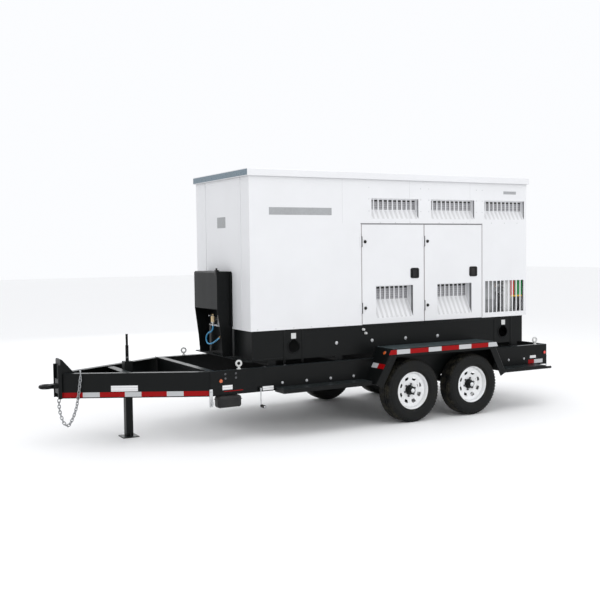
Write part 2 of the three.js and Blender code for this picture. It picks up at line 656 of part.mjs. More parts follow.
function engineBlock() {
  const crank = 1560;
  const cylinders = Array.from({ length: 6 }, (_, i) =>
    block(330 + 150 * i, 450 + 150 * i, -110, 110, 2020, 2085));
  return join(
    block(260, 1240, -190, 190, 1480, 1860),
    block(280, 1220, -150, 150, 1858, 2022),
    block(320, 1180, -120, 120, 1300, 1482),
    ...cylinders,
    bar([180, 0, crank], [262, 0, crank], 90, 20),
    bar([1238, 0, crank], [1318, 0, crank], 250, 28),
    block(420, 1150, 150, 260, 1880, 1960),
    block(380, 700, -300, -188, 1560, 1700),
    ...[360, 1160].flatMap((x) => [near, far].map((side) =>
      block(x - 50, x + 50, side * 180, side * 330, 1112.4, 1500))));
}

function alternatorBody() {
  return join(
    bar([1318 + gap, 0, 1560], [1400, 0, 1560], 262, 28),
    bar([1398, 0, 1560], [1900, 0, 1560], 285, 28),
    bar([1898, 0, 1560], [1950, 0, 1560], 200, 24),
    block(1480, 1830, -180, 180, 1830, 1990),
    ...[1460, 1780].map((x) => block(x, x + 90, -290, 290, 1112.4, 1320)));
}

const fan = { x0: 60, x1: 130, z: 1690, radius: 430, blades: 7 };

function radiatorCore() {
  const core = block(-90, 20, -560, 560, 1200, 2380);
  const shroud = cut(block(18, 56, -480, 480, 1230, 2150),
    bar([0, 0, fan.z], [90, 0, fan.z], fan.radius + 15, 28));
  const fins = Array.from({ length: 9 }, (_, i) =>
    block(-100, -80, -540, 540, 1260 + 120 * i, 1290 + 120 * i));
  return join(cut(core, ...fins), block(-110, 40, -600, 600, 2378, 2470),
    block(-110, 40, -600, 600, 1112.4, 1202), shroud);
}

function coolingFan() {
  const { x0, x1, z, radius, blades } = fan;
  const hub = bar([x0, 0, z], [x1 - 10, 0, z], 80, 20);
  const paddles = Array.from({ length: blades }, (_, i) =>
    block(-26, 26, -5, 5, 60, radius).rotate([0, 0, 32]).rotate([360 * i / blades, 0, 0])
      .translate([(x0 + x1) / 2, 0, z]));
  return join(hub, ...paddles);
}

function exhaustSilencer() {
  const x = -640;
  const z = 2360;
  const pipeY = -280;
  return join(
    bar([x, -380, z], [x, 420, z], 135, 24),
    bar([x, 300, z], [x, 300, 2790], 50, 16),
    bar([x, pipeY, z], [x, pipeY, 2620], 50, 16),
    bar([x, pipeY, 2620], [500, pipeY, 2620], 50, 16),
    bar([500, pipeY, 2670], [500, pipeY, 2150], 50, 16),
    bar([500, pipeY, 2200], [500, pipeY + 105, 2200], 50, 16),
    ...[-300, 320].map((y) => block(x - 30, x + 30, y, y + 50, z + 100, 2820)));
}

function controlPanel() {
  return join(block(2560, 2700, -330, 330, 1790, 2310), block(2600, 2660, -60, 60, 1616, 1792));
}

// Connection panel behind the barred window, with a breaker box and two rows of cable lugs.
function lugPanel() {
  const lugs = Array.from({ length: 10 }, (_, i) => {
    const x = 2350 + 84 * (i % 5);
    const z = i < 5 ? 1500 : 1400;
    return bar([x, -585, z], [x, -640, z], 20, 8);
  });
  return join(block(2080, 2730, -590, -570, 1120, 1610), block(2110, 2290, -640, -588, 1330, 1560),
    block(2080, 2730, -572, -440, 1112.4, 1160), ...lugs);
}

// Mushroom button whose stem passes through the rear wall.
function emergencyStop() {
  const { y, z, stem } = stopButton;
  const profile = [[0, -24], [stem, -24], [stem, 16], [26, 18], [30, 26], [28, 36], [0, 40]];
  return turned(profile, 'z', 20).rotate([0, 90, 0]).translate([body.rear, y, z]);
}

function buildGeneratorSet() {
  add('engine', engineBlock(), engineGrey);
  add('alternator', alternatorBody(), engineGrey);
  add('radiator', radiatorCore(), coreDark);
  add('cooling_fan', coolingFan(), coreDark);
  add('silencer', exhaustSilencer(), zinc);
  add('control_panel', controlPanel(), panelGrey);
  add('lug_panel', lugPanel(), panelGrey);
  add('e_stop', emergencyStop(), buttonRed);
}

// ---------------------------------------------------------------- assembly

buildFrame();
add('safety_chain', chain(), zinc);
buildTongueJack();
buildStabilizers();
buildRunningGear();
buildFendersAndSteps();
buildEnclosure();
add('service_guard', serviceGuard(), frameBlack);
add('drain_valve', drainValve(), zinc);
add('drain_hose', hose(), hoseBlue);
buildGeneratorSet();

export default generator;
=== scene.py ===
# %% [markdown]
# # A towable diesel generator
# A generator set sits in a white steel enclosure on a black fuel-tank skid, and a tandem-axle
# trailer carries it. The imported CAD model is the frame: every piece made here takes its place from
# a CAD node's box, and rides on the CAD body that it belongs to. Lengths are in metres.

# %% Load the frame and keep its box
import json

import bpy
import bmesh
import numpy as np
from mathutils import Matrix, Vector


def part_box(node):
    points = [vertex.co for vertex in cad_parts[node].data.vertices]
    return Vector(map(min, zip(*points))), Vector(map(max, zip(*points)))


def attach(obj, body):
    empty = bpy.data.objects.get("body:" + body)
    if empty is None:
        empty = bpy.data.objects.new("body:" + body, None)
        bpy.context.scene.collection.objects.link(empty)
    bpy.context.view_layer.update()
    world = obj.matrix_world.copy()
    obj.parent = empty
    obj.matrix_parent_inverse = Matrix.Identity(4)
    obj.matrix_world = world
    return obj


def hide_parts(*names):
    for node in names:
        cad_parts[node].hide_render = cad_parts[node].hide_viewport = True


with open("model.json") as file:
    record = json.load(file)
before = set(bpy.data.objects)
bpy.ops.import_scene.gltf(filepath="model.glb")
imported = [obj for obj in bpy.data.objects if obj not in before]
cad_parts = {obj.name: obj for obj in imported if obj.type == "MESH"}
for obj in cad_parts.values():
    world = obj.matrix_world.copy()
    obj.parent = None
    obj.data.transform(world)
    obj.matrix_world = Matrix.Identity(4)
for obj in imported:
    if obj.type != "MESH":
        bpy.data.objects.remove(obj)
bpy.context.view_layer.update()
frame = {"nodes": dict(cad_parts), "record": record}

# %% [markdown]
# ## Where the parts are
# A CAD box is a pair of corners. Short names for the few planes that many pieces share keep the
# rest of the script readable: the near side is at -Y, the front at -X.

# %% Shared planes and lengths
def corners(node):
    """The lowest and highest corner of a CAD node, as two arrays."""
    low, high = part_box(node)
    return np.array(low), np.array(high)


wall_low, wall_high = corners("enclosure_shell")
roof_low = corners("roof")[0]
rail_low, rail_high = corners("rail_near")
skid_low, skid_high = corners("skid_tank")
NEAR, FAR = -1, 1
side_name = {NEAR: "near", FAR: "far"}
wall_y = wall_high[1]                     # half the enclosure's width
rail_y = -rail_low[1]                     # outer face of the rails from the middle
print("enclosure", wall_low.round(3), wall_high.round(3))

# %% [markdown]
# ## Camera and light
# The camera stands off the near front corner at eye height. It is placed by the direction that it
# looks in: a heading from +Y towards +X, a slight downward pitch and a trace of roll.

# %% The camera
CAMERA_PLACE = (-5.336, -9.2335, 1.972)
HEADING, PITCH, ROLL = 0.5128, 0.0556, -0.0123
LENS = 54.06

forward = np.array([np.sin(HEADING) * np.cos(PITCH), np.cos(HEADING) * np.cos(PITCH), -np.sin(PITCH)])
right = np.array([np.cos(HEADING), -np.sin(HEADING), 0.0])
up = np.cross(right, forward)
right, up = (np.cos(ROLL) * right + np.sin(ROLL) * up, np.cos(ROLL) * up - np.sin(ROLL) * right)
camera = bpy.data.objects.new("camera", bpy.data.cameras.new("camera"))
camera.data.lens = LENS
camera.data.clip_end = 200
turn = Matrix(np.column_stack([right, up, -forward]).tolist()).to_4x4()
camera.matrix_world = Matrix.Translation(CAMERA_PLACE) @ turn
bpy.context.scene.collection.objects.link(camera)
bpy.context.scene.camera = camera

# %% [markdown]
# ## Shader maths as Python
# A pattern is easier to read as an expression than as a web of links. `Socket` wraps the output of a
# node, so that `dust * 0.5 + 1` adds the Math nodes by itself, and `Finish` is a material whose
# other nodes all come from one method.

# %% Sockets that can be added and multiplied
class Socket:
    """The output of a shader node, usable in sums, differences and products with numbers."""

    def __init__(self, finish, output):
        self.finish, self.output = finish, output

    def __add__(self, other):
        return self.finish.maths("ADD", self, other)

    def __radd__(self, other):
        return self.finish.maths("ADD", other, self)

    def __sub__(self, other):
        return self.finish.maths("SUBTRACT", self, other)

    def __rsub__(self, other):
        return self.finish.maths("SUBTRACT", other, self)

    def __mul__(self, other):
        return self.finish.maths("MULTIPLY", self, other)

    def __rmul__(self, other):
        return self.finish.maths("MULTIPLY", other, self)

    def __gt__(self, other):
        return self.finish.maths("GREATER_THAN", self, other)

    def __abs__(self):
        return self.finish.maths("ABSOLUTE", self)

    def at_most(self, other):
        return self.finish.maths("MINIMUM", self, other)


# %% A material built by expressions
class Finish:
    """A material: constants go straight on the shader's sockets, patterns come from nodes."""

    def __init__(self, name, colour, roughness, **constants):
        self.material = bpy.data.materials.new(name)
        self.material.use_nodes = True
        self.nodes, self.links = self.material.node_tree.nodes, self.material.node_tree.links
        self.surface = self.nodes["Principled BSDF"]
        self.set("Base Color", (*colour, 1.0))
        self.set("Roughness", roughness)
        for socket, value in constants.items():
            self.set(socket.replace("_", " "), value)

    def join(self, socket, value):
        """Puts a number, a colour or another node's output on a socket."""
        if isinstance(value, Socket):
            self.links.new(value.output, socket)
        else:
            socket.default_value = value

    def set(self, socket, value):
        self.join(self.surface.inputs[socket], value)

    def node(self, kind, settings=None, inputs=None, output=0):
        """Any node: its settings are set first, then the values or links of its sockets."""
        made = self.nodes.new(kind)
        for key, value in (settings or {}).items():
            if key == "stops":
                for element, (position, colour) in zip(made.color_ramp.elements, value):
                    element.position, element.color = position, (*colour, 1.0)
            else:
                setattr(made, key, value)
        for socket, value in (inputs or {}).items():
            self.join(made.inputs[socket], value)
        return Socket(self, made.outputs[output])

    def maths(self, operation, first, second=0.0):
        return self.node("ShaderNodeMath", {"operation": operation}, {0: first, 1: second})

    def place(self):
        """Object coordinates, which are the trailer's own metres."""
        return self.node("ShaderNodeTexCoord", output="Object")

    def axis(self, name):
        """One of the object coordinates, 'X', 'Y' or 'Z'."""
        return self.node("ShaderNodeSeparateXYZ", inputs={0: self.place()}, output=name)

    def noise(self, scale, detail=3.0, stretch=(1.0, 1.0, 1.0)):
        """Cloudy noise between 0 and 1, with about `scale` lumps to the metre."""
        mapped = self.node("ShaderNodeMapping", inputs={"Vector": self.place(), "Scale": stretch})
        inputs = {"Vector": mapped, "Scale": scale, "Detail": detail}
        return self.node("ShaderNodeTexNoise", inputs=inputs)

    def ramp(self, value, low, high):
        """0 below `low`, 1 above `high`, even in between."""
        settings = {"clamp": True}
        inputs = {"Value": value, "From Min": low, "From Max": high}
        return self.node("ShaderNodeMapRange", settings, inputs)

    def mix(self, mask, first, second):
        """The colour `first` where mask is 0 and `second` where it is 1."""
        colours = [value if isinstance(value, Socket) else (*value, 1.0) for value in (first, second)]
        inputs = {0: mask, 6: colours[0], 7: colours[1]}
        return self.node("ShaderNodeMix", {"data_type": "RGBA"}, inputs, 2)

    def bump(self, height, depth):
        """Raises the surface by `depth` metres where height is 1."""
        inputs = {"Height": height, "Distance": depth, "Strength": 1.0}
        self.set("Normal", self.node("ShaderNodeBump", inputs=inputs))


# %% [markdown]
# ## Paints
# Powder coat is not a flat colour. Its skin has a faint orange peel, dust settles low down, and its
# up-facing tops get a bluish film that is partly settled dust and partly painted sheen standing for
# the sky's reflection. Its gloss changes where hands and rain have been. Three noises at three scales
# give that: millimetres for the peel, decimetres for the mottling and metres for the dirt.

# %% Powder-coated steel, black and white
def powder_coat(name, colour, dust_colour, roughness, dust, peel, shine=0.5, top_sheen_and_dust=0.0):
    """Paint with orange peel, cloudy gloss, dust that thins out upwards, and on its tops a film of dust and
    painted sheen.
    """
    paint = Finish(name, colour, roughness, Specular_IOR_Level=shine)
    clouds = paint.noise(2.3, 4.0)
    streaks = paint.noise(9.0, 3.0, (1.0, 1.0, 0.18))
    low_down = 1.0 - paint.ramp(paint.axis("Z"), 0.1, 1.5)
    dusty = paint.ramp(clouds * streaks, 0.16, 0.42) * (low_down * 0.75 + 0.25) * dust
    mottled = paint.mix(paint.ramp(clouds, 0.3, 0.7) * 0.5, colour, [value * 0.93 for value in colour])
    dust_and_sheen_colour = paint.mix(dusty, mottled, dust_colour)
    if top_sheen_and_dust:
        up = paint.node("ShaderNodeSeparateXYZ",
                        inputs={0: paint.node("ShaderNodeNewGeometry", output="Normal")},
                        output="Z")
        # Painted sheen: up-facing tops mix towards a bluish film colour that stands for the sky's reflection,
        # partly settled dust.
        film = paint.ramp(up, 0.80, 0.98) * (clouds * 0.5 + 0.6) * top_sheen_and_dust
        dust_and_sheen_colour = paint.mix(film.at_most(1.0), dust_and_sheen_colour, (0.062, 0.082, 0.088))
    paint.set("Base Color", dust_and_sheen_colour)
    paint.set("Roughness", (streaks * 0.12 + dusty * 0.3 + (roughness - 0.06)).at_most(0.95))
    paint.bump(paint.noise(420.0, 1.0), peel)
    return paint.material


BLACK, ROAD_DUST = (0.0042, 0.0050, 0.0052), (0.024, 0.023, 0.020)
# The last argument is the top film of dust and painted sheen; the fender paint is a copy with a stronger
# painted sheen.
black_paint = powder_coat("black powder coat", BLACK, ROAD_DUST, 0.36, 0.10, 0.00012, 0.14, 0.22)
fender_paint_with_top_sheen = powder_coat("fender paint with painted top sheen", BLACK, ROAD_DUST, 0.36, 0.10, 0.00012, 0.14, 0.85)
white_paint = powder_coat("white powder coat", (0.755, 0.76, 0.775), (0.66, 0.64, 0.60), 0.42, 0.14, 0.00008)
rim_enamel = powder_coat("white rim enamel", (0.84, 0.85, 0.86), (0.45, 0.42, 0.37), 0.24, 0.22, 0.00003)

# %% [markdown]
# Bare zinc, rubber, glass and the engine's paints follow. Zinc plating is a real metal whose
# spangle shows as patches of different gloss, tyre rubber is black with brown dust in it, and plated
# or cast parts carry a film of grime that a noise thins out.

# %% Metals
def bare_metal(name, colour, roughness, grime, scale):
    """Metal whose gloss varies in patches, under a film of dark grime."""
    metal = Finish(name, colour, roughness, Metallic=1.0)
    patches = metal.node("ShaderNodeTexVoronoi", {"feature": "F1"},
                         {"Vector": metal.place(), "Scale": scale}, "Color")
    tone = metal.node("ShaderNodeRGBToBW", inputs={0: patches})
    film = metal.ramp(metal.noise(7.0, 5.0), 0.35, 0.75) * grime
    metal.set("Base Color", metal.mix(film, metal.mix(tone * 0.25, colour, (0.5, 0.52, 0.54)),
                                      (0.07, 0.06, 0.05)))
    metal.set("Roughness", tone * 0.18 + film * 0.35 + (roughness - 0.06))
    metal.set("Metallic", 1.0 - film * 0.8)
    metal.bump(metal.noise(260.0, 2.0), 0.0002)
    return metal.material


zinc = bare_metal("zinc plate", (0.62, 0.63, 0.64), 0.34, 0.25, 55.0)
dark_bolt = bare_metal("black oxide bolts", (0.06, 0.06, 0.065), 0.38, 0.3, 90.0)
chain_zinc = bare_metal("chain zinc", (0.40, 0.41, 0.42), 0.36, 0.35, 70.0)
polished = bare_metal("polished cap", (0.75, 0.76, 0.77), 0.14, 0.12, 20.0)
brass = bare_metal("brass", (0.72, 0.52, 0.24), 0.28, 0.25, 40.0)
copper = bare_metal("tinned copper", (0.72, 0.55, 0.45), 0.32, 0.2, 40.0)
exhaust_metal = bare_metal("exhaust steel", (0.34, 0.31, 0.28), 0.48, 0.6, 12.0)


# %% Rubber, plastic and machine paint
def plain_plastic(name, colour, roughness, dust, grain, **constants):
    """Moulded plastic or rubber: pebbled skin, with pale dust lying in patches."""
    skin = Finish(name, colour, roughness, **constants)
    patches = skin.ramp(skin.noise(5.0, 5.0), 0.4, 0.75) * dust
    fine = skin.ramp(skin.noise(60.0, 2.0), 0.35, 0.7)
    skin.set("Base Color", skin.mix(patches, skin.mix(fine * 0.3, colour, [value * 0.7 for value in colour]),
                                    (0.16, 0.145, 0.12)))
    skin.set("Roughness", fine * 0.1 + patches * 0.3 + (roughness - 0.05))
    skin.bump(skin.noise(grain, 2.0), 0.00025)
    return skin.material


latch_plastic = plain_plastic("latch plastic", (0.010, 0.010, 0.011), 0.42, 0.10, 900.0,
                              Specular_IOR_Level=0.25)
grip_rubber = plain_plastic("grip rubber", (0.012, 0.012, 0.012), 0.6, 0.15, 500.0, Specular_IOR_Level=0.2)
hose_rubber = plain_plastic("blue hose", (0.035, 0.33, 0.62), 0.36, 0.12, 420.0, Coat_Weight=0.25)
cable_jacket = plain_plastic("cable jacket", (0.02, 0.02, 0.022), 0.5, 0.3, 300.0)
red_plastic = plain_plastic("red plastic", (0.55, 0.015, 0.012), 0.34, 0.06, 700.0, Coat_Weight=0.3)
green_plastic = plain_plastic("green plastic", (0.02, 0.26, 0.07), 0.38, 0.08, 700.0)
yellow_plastic = plain_plastic("yellow plastic", (0.72, 0.44, 0.03), 0.36, 0.08, 700.0)
pale_plastic = plain_plastic("pale plastic", (0.62, 0.63, 0.62), 0.45, 0.1, 500.0)
engine_paint = plain_plastic("engine paint", (0.045, 0.052, 0.055), 0.4, 0.35, 150.0, Coat_Weight=0.2)
alternator_paint = plain_plastic("alternator paint", (0.20, 0.21, 0.22), 0.42, 0.3, 150.0)
panel_paint = plain_plastic("panel paint", (0.36, 0.37, 0.38), 0.45, 0.12, 260.0)
core_black = plain_plastic("radiator black", (0.014, 0.014, 0.015), 0.55, 0.4, 200.0)
# A near-black sheet, used only as painted shadow at the slot tops of the louvre cassettes.
slot_shadow_black = plain_plastic("painted slot shadow black", (0.03, 0.03, 0.032), 0.95, 0.15, 60.0)


# %% Tyre rubber, worn brown on the tread
def tyre_rubber():
    """Black rubber: the tread is dusted brown, the sidewall stays darker with a fine bump."""
    rubber = Finish("tyre rubber", (0.012, 0.012, 0.012), 0.62, Specular_IOR_Level=0.18)
    dust = rubber.ramp(rubber.noise(14.0, 6.0), 0.42, 0.72)
    across = abs(abs(rubber.axis("Y")) - 0.925)
    tread = (1.0 - rubber.ramp(across, 0.078, 0.098)) * 0.55 + 0.10
    rubber.set("Base Color", rubber.mix(dust * tread, (0.0042, 0.0048, 0.005), (0.060, 0.054, 0.036)))
    rubber.set("Roughness", (dust * 0.2 + 0.52).at_most(0.9))
    rubber.bump(rubber.noise(700.0, 2.0), 0.0003)
    return rubber.material


# %% Reflective tape, lamps and labels
def conspicuity_tape(name, colour):
    """Retroreflective tape: a honeycomb of fine cells under a glossy coat."""
    tape = Finish(name, colour, 0.28, Coat_Weight=0.05, Coat_Roughness=0.12, Specular_IOR_Level=0.1)
    cells = tape.node("ShaderNodeTexVoronoi", {"feature": "DISTANCE_TO_EDGE"},
                      {"Vector": tape.place(), "Scale": 260.0, "Randomness": 0.0}, "Distance")
    edge = 1.0 - tape.ramp(cells, 0.03, 0.12)
    tape.set("Base Color", tape.mix(edge * 0.35, colour, [value * 0.6 for value in colour]))
    tape.set("Roughness", edge * 0.3 + 0.22)
    return tape.material


def lens(name, colour, glow):
    """Coloured lamp lens with moulded flutes."""
    glass = Finish(name, colour, 0.12, Coat_Weight=0.8, Specular_IOR_Level=0.6,
                   Emission_Color=(*colour, 1.0), Emission_Strength=glow)
    flutes = glass.ramp(glass.maths("SINE", glass.axis("Z") * 1400.0), -1.0, 1.0)
    glass.set("Base Color", glass.mix(flutes * 0.5, colour, [value * 0.45 for value in colour]))
    glass.bump(flutes, 0.0006)
    return glass.material


def label_stock(name, ground, ink, rows):
    """A generic label: pale ground crossed by a few grey bars that stand for its print."""
    label = Finish(name, ground, 0.35, Coat_Weight=0.4)
    band = label.maths("SINE", label.axis("Z") * rows) > 0.45
    label.set("Base Color", label.mix(band * 0.5, ground, ink))
    label.set("Roughness", label.noise(30.0) * 0.2 + 0.3)
    return label.material

# %% Materials made from those recipes
rubber_black = tyre_rubber()
red_tape = conspicuity_tape("red tape", (0.30, 0.0018, 0.003))
white_tape = conspicuity_tape("white tape", (0.50, 0.51, 0.52))
amber_lens = lens("amber lens", (0.62, 0.10, 0.004), 0.06)
red_lens = lens("red lens", (0.62, 0.02, 0.01), 0.2)
clear_glass = lens("meter glass", (0.06, 0.09, 0.08), 0.0)
white_label = label_stock("white label", (0.76, 0.76, 0.76), (0.36, 0.36, 0.40), 260.0)
filter_orange = plain_plastic("filter paint", (0.82, 0.21, 0.02), 0.3, 0.05, 200.0, Coat_Weight=0.3)

# %% [markdown]
# ## Surfaces from arrays
# Every new piece is one or more closed surfaces. A surface is a table of rings: each ring is a row
# of points, and the faces join a ring to the next one. Profiles carried along a path, turned about
# an axis or stacked as rounded boxes are all such tables, so one function makes the faces for all.

# %% A closed surface and its mesh
class Surface:
    """Points, four-sided faces and end caps. Surfaces add up, and copies of one share a mesh."""

    def __init__(self, points, quads, caps=()):
        self.points, self.quads, self.caps = np.asarray(points, float), np.asarray(quads, int), list(caps)

    def __add__(self, other):
        shift = len(self.points)
        caps = self.caps + [cap + shift for cap in other.caps]
        return Surface(np.vstack([self.points, other.points]), np.vstack([self.quads, other.quads + shift]),
                       caps)

    def moved(self, x=0.0, y=0.0, z=0.0):
        return Surface(self.points + np.array([x, y, z]), self.quads, self.caps)

    def turned(self, degrees, axis="Z"):
        """Turns the surface about an axis through the origin."""
        matrix = np.array(Matrix.Rotation(np.radians(degrees), 3, axis))
        return Surface(self.points @ matrix.T, self.quads, self.caps)

    def aimed(self, direction):
        """Turns the surface so that its +Z points along a direction."""
        way = np.array(direction, float) / np.linalg.norm(direction)
        helper = np.array([0.0, 0.0, 1.0]) if abs(way[2]) < 0.9 else np.array([1.0, 0.0, 0.0])
        first = np.cross(helper, way) / np.linalg.norm(np.cross(helper, way))
        matrix = np.column_stack([first, np.cross(way, first), way])
        return Surface(self.points @ matrix.T, self.quads, self.caps)

    def copies(self, places):
        """The same surface at every place, as one surface."""
        places = np.asarray(places, float)
        count, shift = len(self.points), np.arange(len(places)) * len(self.points)
        points = (self.points[None] + places[:, None]).reshape(-1, 3)
        quads = (self.quads[None] + shift[:, None, None]).reshape(-1, 4)
        assert count * len(places) == len(points)
        return Surface(points, quads, [cap + step for step in shift for cap in self.caps])


def joined(surfaces):
    """Many surfaces as one, by adding them in turn."""
    total = surfaces[0]
    for surface in surfaces[1:]:
        total = total + surface
    return total


def rings(table, closed_path=False, closed_ring=True):
    """Joins each ring to the next: table has the shape rings x points x 3. Open ends get a cap."""
    count, size = table.shape[:2]
    rows = np.arange(count if closed_path else count - 1)[:, None]
    columns = np.arange(size if closed_ring else size - 1)[None, :]
    ahead, beside = (rows + 1) % count, (columns + 1) % size
    quads = np.stack([rows * size + columns, rows * size + beside, ahead * size + beside,
                      ahead * size + columns], axis=-1).reshape(-1, 4)
    first, last = np.arange(size)[::-1], np.arange(size) + (count - 1) * size
    return Surface(table.reshape(-1, 3), quads, [] if closed_path else [first, last])


def piece(name, surface, material, body="trailer", slot=None, replaces=(), sharp=35.0, bevel=0.0, levels=0,
          wall=0.0):
    """Makes the mesh, points its faces outwards and lets it ride on a body."""
    mesh = bpy.data.meshes.new(name)
    mesh.from_pydata(surface.points.tolist(), [],
                     surface.quads.tolist() + [cap.tolist() for cap in surface.caps])
    mesh.validate()
    made = bpy.data.objects.new(name, mesh)
    bpy.context.scene.collection.objects.link(made)
    solid = bmesh.new()
    solid.from_mesh(mesh)
    bmesh.ops.remove_doubles(solid, verts=solid.verts, dist=1e-6)
    bmesh.ops.recalc_face_normals(solid, faces=solid.faces)
    solid.to_mesh(mesh)
    solid.free()
    mesh.shade_smooth()
    mesh.set_sharp_from_angle(angle=np.radians(sharp))
    mesh.materials.append(material)
    if wall:
        made.modifiers.new("sheet thickness", "SOLIDIFY").thickness = wall
    if bevel:
        edge = made.modifiers.new("rounded edges", "BEVEL")
        edge.width, edge.segments, edge.limit_method, edge.angle_limit = bevel, 2, "ANGLE", np.radians(40)
    if levels:
        smoother = made.modifiers.new("smooth", "SUBSURF")
        smoother.levels = smoother.render_levels = levels
    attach(made, body)
    if replaces:
        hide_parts(*replaces)
    return made


# %% Rounded boxes, bars, turned shapes and tubes
def rounded_box(low, high, radius=0.002, steps=2):
    """A stack of rounded rectangles: both the outline's corners and the two ends are quarter circles."""
    low, high = np.minimum(low, high).astype(float), np.maximum(low, high).astype(float)
    half, middle = (high - low) / 2, (high + low) / 2
    radius = min(radius, *(half * 0.98))
    turn = np.linspace(0, np.pi / 2, steps + 1)
    angles = (turn[None] + np.arange(4)[:, None] * np.pi / 2).ravel()
    corner = np.array([[1, 1], [-1, 1], [-1, -1], [1, -1]]).repeat(steps + 1, axis=0)
    heights = np.concatenate([-half[2] + radius * (1 - np.cos(turn)),
                              half[2] - radius * (1 - np.cos(turn[::-1]))])
    shrink = np.concatenate([radius * (1 - np.sin(turn)), radius * (1 - np.sin(turn[::-1]))])
    arc = np.stack([np.cos(angles), np.sin(angles)], axis=-1)
    flat = corner * (half[:2] - radius) + arc * radius
    inset = corner * (half[:2] - radius) + arc * 0.0
    blend = (shrink / radius)[:, None, None]
    table = np.empty((len(heights), len(flat), 3))
    table[..., :2] = flat[None] * (1 - blend) + inset[None] * blend
    table[..., 2] = heights[:, None]
    return rings(table + middle)


def lathe(profile, sides=32, closed=False):
    """Turns a profile of (radius, height) points about Z."""
    profile = np.array(profile, float)
    angle = np.arange(sides) * 2 * np.pi / sides
    table = np.empty((len(profile), sides, 3))
    table[..., 0] = profile[:, 0, None] * np.cos(angle)
    table[..., 1] = profile[:, 0, None] * np.sin(angle)
    table[..., 2] = profile[:, 1, None]
    return rings(table, closed_path=closed)


def smooth_path(points, per_span=10):
    """A curve through all the points: cubic spans whose knots are spaced by the root of each gap."""
    points = np.array(points, float)
    ends = np.vstack([2 * points[0] - points[1], points, 2 * points[-1] - points[-2]])
    gaps = np.sqrt(np.linalg.norm(np.diff(ends, axis=0), axis=1))[:, None]
    before, middle, after = gaps[:-2], gaps[1:-1], gaps[2:]
    p0, p1, p2, p3 = ends[:-3], ends[1:-2], ends[2:-1], ends[3:]
    leave = ((p1 - p0) / before - (p2 - p0) / (before + middle) + (p2 - p1) / middle) * middle
    arrive = ((p2 - p1) / middle - (p3 - p1) / (middle + after) + (p3 - p2) / after) * middle
    t = np.linspace(0, 1, per_span, endpoint=False)[None, :, None]
    p1, p2, leave, arrive = p1[:, None], p2[:, None], leave[:, None], arrive[:, None]
    curve = ((2 * t**3 - 3 * t**2 + 1) * p1 + (t**3 - 2 * t**2 + t) * leave
             + (3 * t**2 - 2 * t**3) * p2 + (t**3 - t**2) * arrive)
    return np.vstack([curve.reshape(-1, 3), points[-1:]])


def frames_along(path, closed=False):
    """Tangent and two cross directions at every point of a path, turned as little as possible."""
    ahead, behind = (np.roll(path, -1, 0), np.roll(path, 1, 0)) if closed else (
        np.vstack([path[1:], path[-1:]]), np.vstack([path[:1], path[:-1]]))
    tangent = ahead - behind
    tangent /= np.linalg.norm(tangent, axis=1)[:, None]
    first = np.empty_like(tangent)
    start = np.array([0.0, 0.0, 1.0]) if abs(tangent[0, 2]) < 0.9 else np.array([0.0, 1.0, 0.0])
    previous = start
    for step, way in enumerate(tangent):
        previous = previous - way * previous.dot(way)
        previous = previous / np.linalg.norm(previous)
        first[step] = previous
    return tangent, first, np.cross(tangent, first)


def tube(path, radius, sides=12, closed=False):
    """A circle carried along a path. The radius may change from point to point."""
    path = np.array(path, float)
    _, first, second = frames_along(path, closed)
    angle = np.arange(sides) * 2 * np.pi / sides
    radius = np.broadcast_to(np.asarray(radius, float), (len(path),))[:, None, None]
    circle = first[:, None] * np.cos(angle)[None, :, None] + second[:, None] * np.sin(angle)[None, :, None]
    return rings(path[:, None] + circle * radius, closed_path=closed)


def rod(start, end, radius, sides=16, chamfer=0.0015):
    """A straight bar with chamfered ends."""
    start, end = np.array(start, float), np.array(end, float)
    way = (end - start) / np.linalg.norm(end - start)
    path = [start, start + way * chamfer, end - way * chamfer, end]
    return tube(path, [radius - chamfer, radius, radius, radius - chamfer], sides)


def swept(section, path_axis, low, high, inset=0.0):
    """A flat outline carried straight along an axis. The outline lists the two other axes in order."""
    section = np.array(section, float)
    centre = section.mean(axis=0)
    span = np.abs(section - centre).max()
    small = centre + (section - centre) * (1 - inset / span)
    levels = [(low, small), (low + inset, section), (high - inset, section), (high, small)]
    levels = levels if inset else [(low, section), (high, section)]
    table = np.empty((len(levels), len(section), 3))
    others = [axis for axis in range(3) if axis != path_axis]
    for row, (place, outline) in enumerate(levels):
        table[row][:, others] = outline
        table[row][:, path_axis] = place
    return rings(table)


def hexagon_bolt(size=0.012, height=0.008, washer=1.35):
    """A hexagon head with a chamfered crown on a round washer, standing on z = 0."""
    disc = lathe([(0, 0), (size * washer, 0), (size * washer, height * 0.25), (0, height * 0.25)], 20)
    crown = [(0, 0.2), (1.0, 0.2), (1.0, 0.85), (0.84, 1.0), (0, 1.0)]
    head = lathe([(radius * size, level * height) for radius, level in crown], 6)
    return disc + head


def dome_screw(radius=0.006, height=0.003):
    """A pan-head screw: half an ellipse turned about its axis."""
    angle = np.linspace(0, np.pi / 2, 4)
    profile = [(0, -0.0005), (radius, -0.0005)]
    profile += [(radius * np.cos(a), height * np.sin(a)) for a in angle]
    return lathe(profile, 12)


print("helpers ready")

# %% [markdown]
# ## The safety chain and the drain hose
# The chain is welded steel, so each link is a round wire bent into a stadium. Neighbouring links
# stand at right angles and sit one inside length apart along the route, which makes them touch
# inside each other. The hose is one tube that leaves the drain valve straight down and curls up.

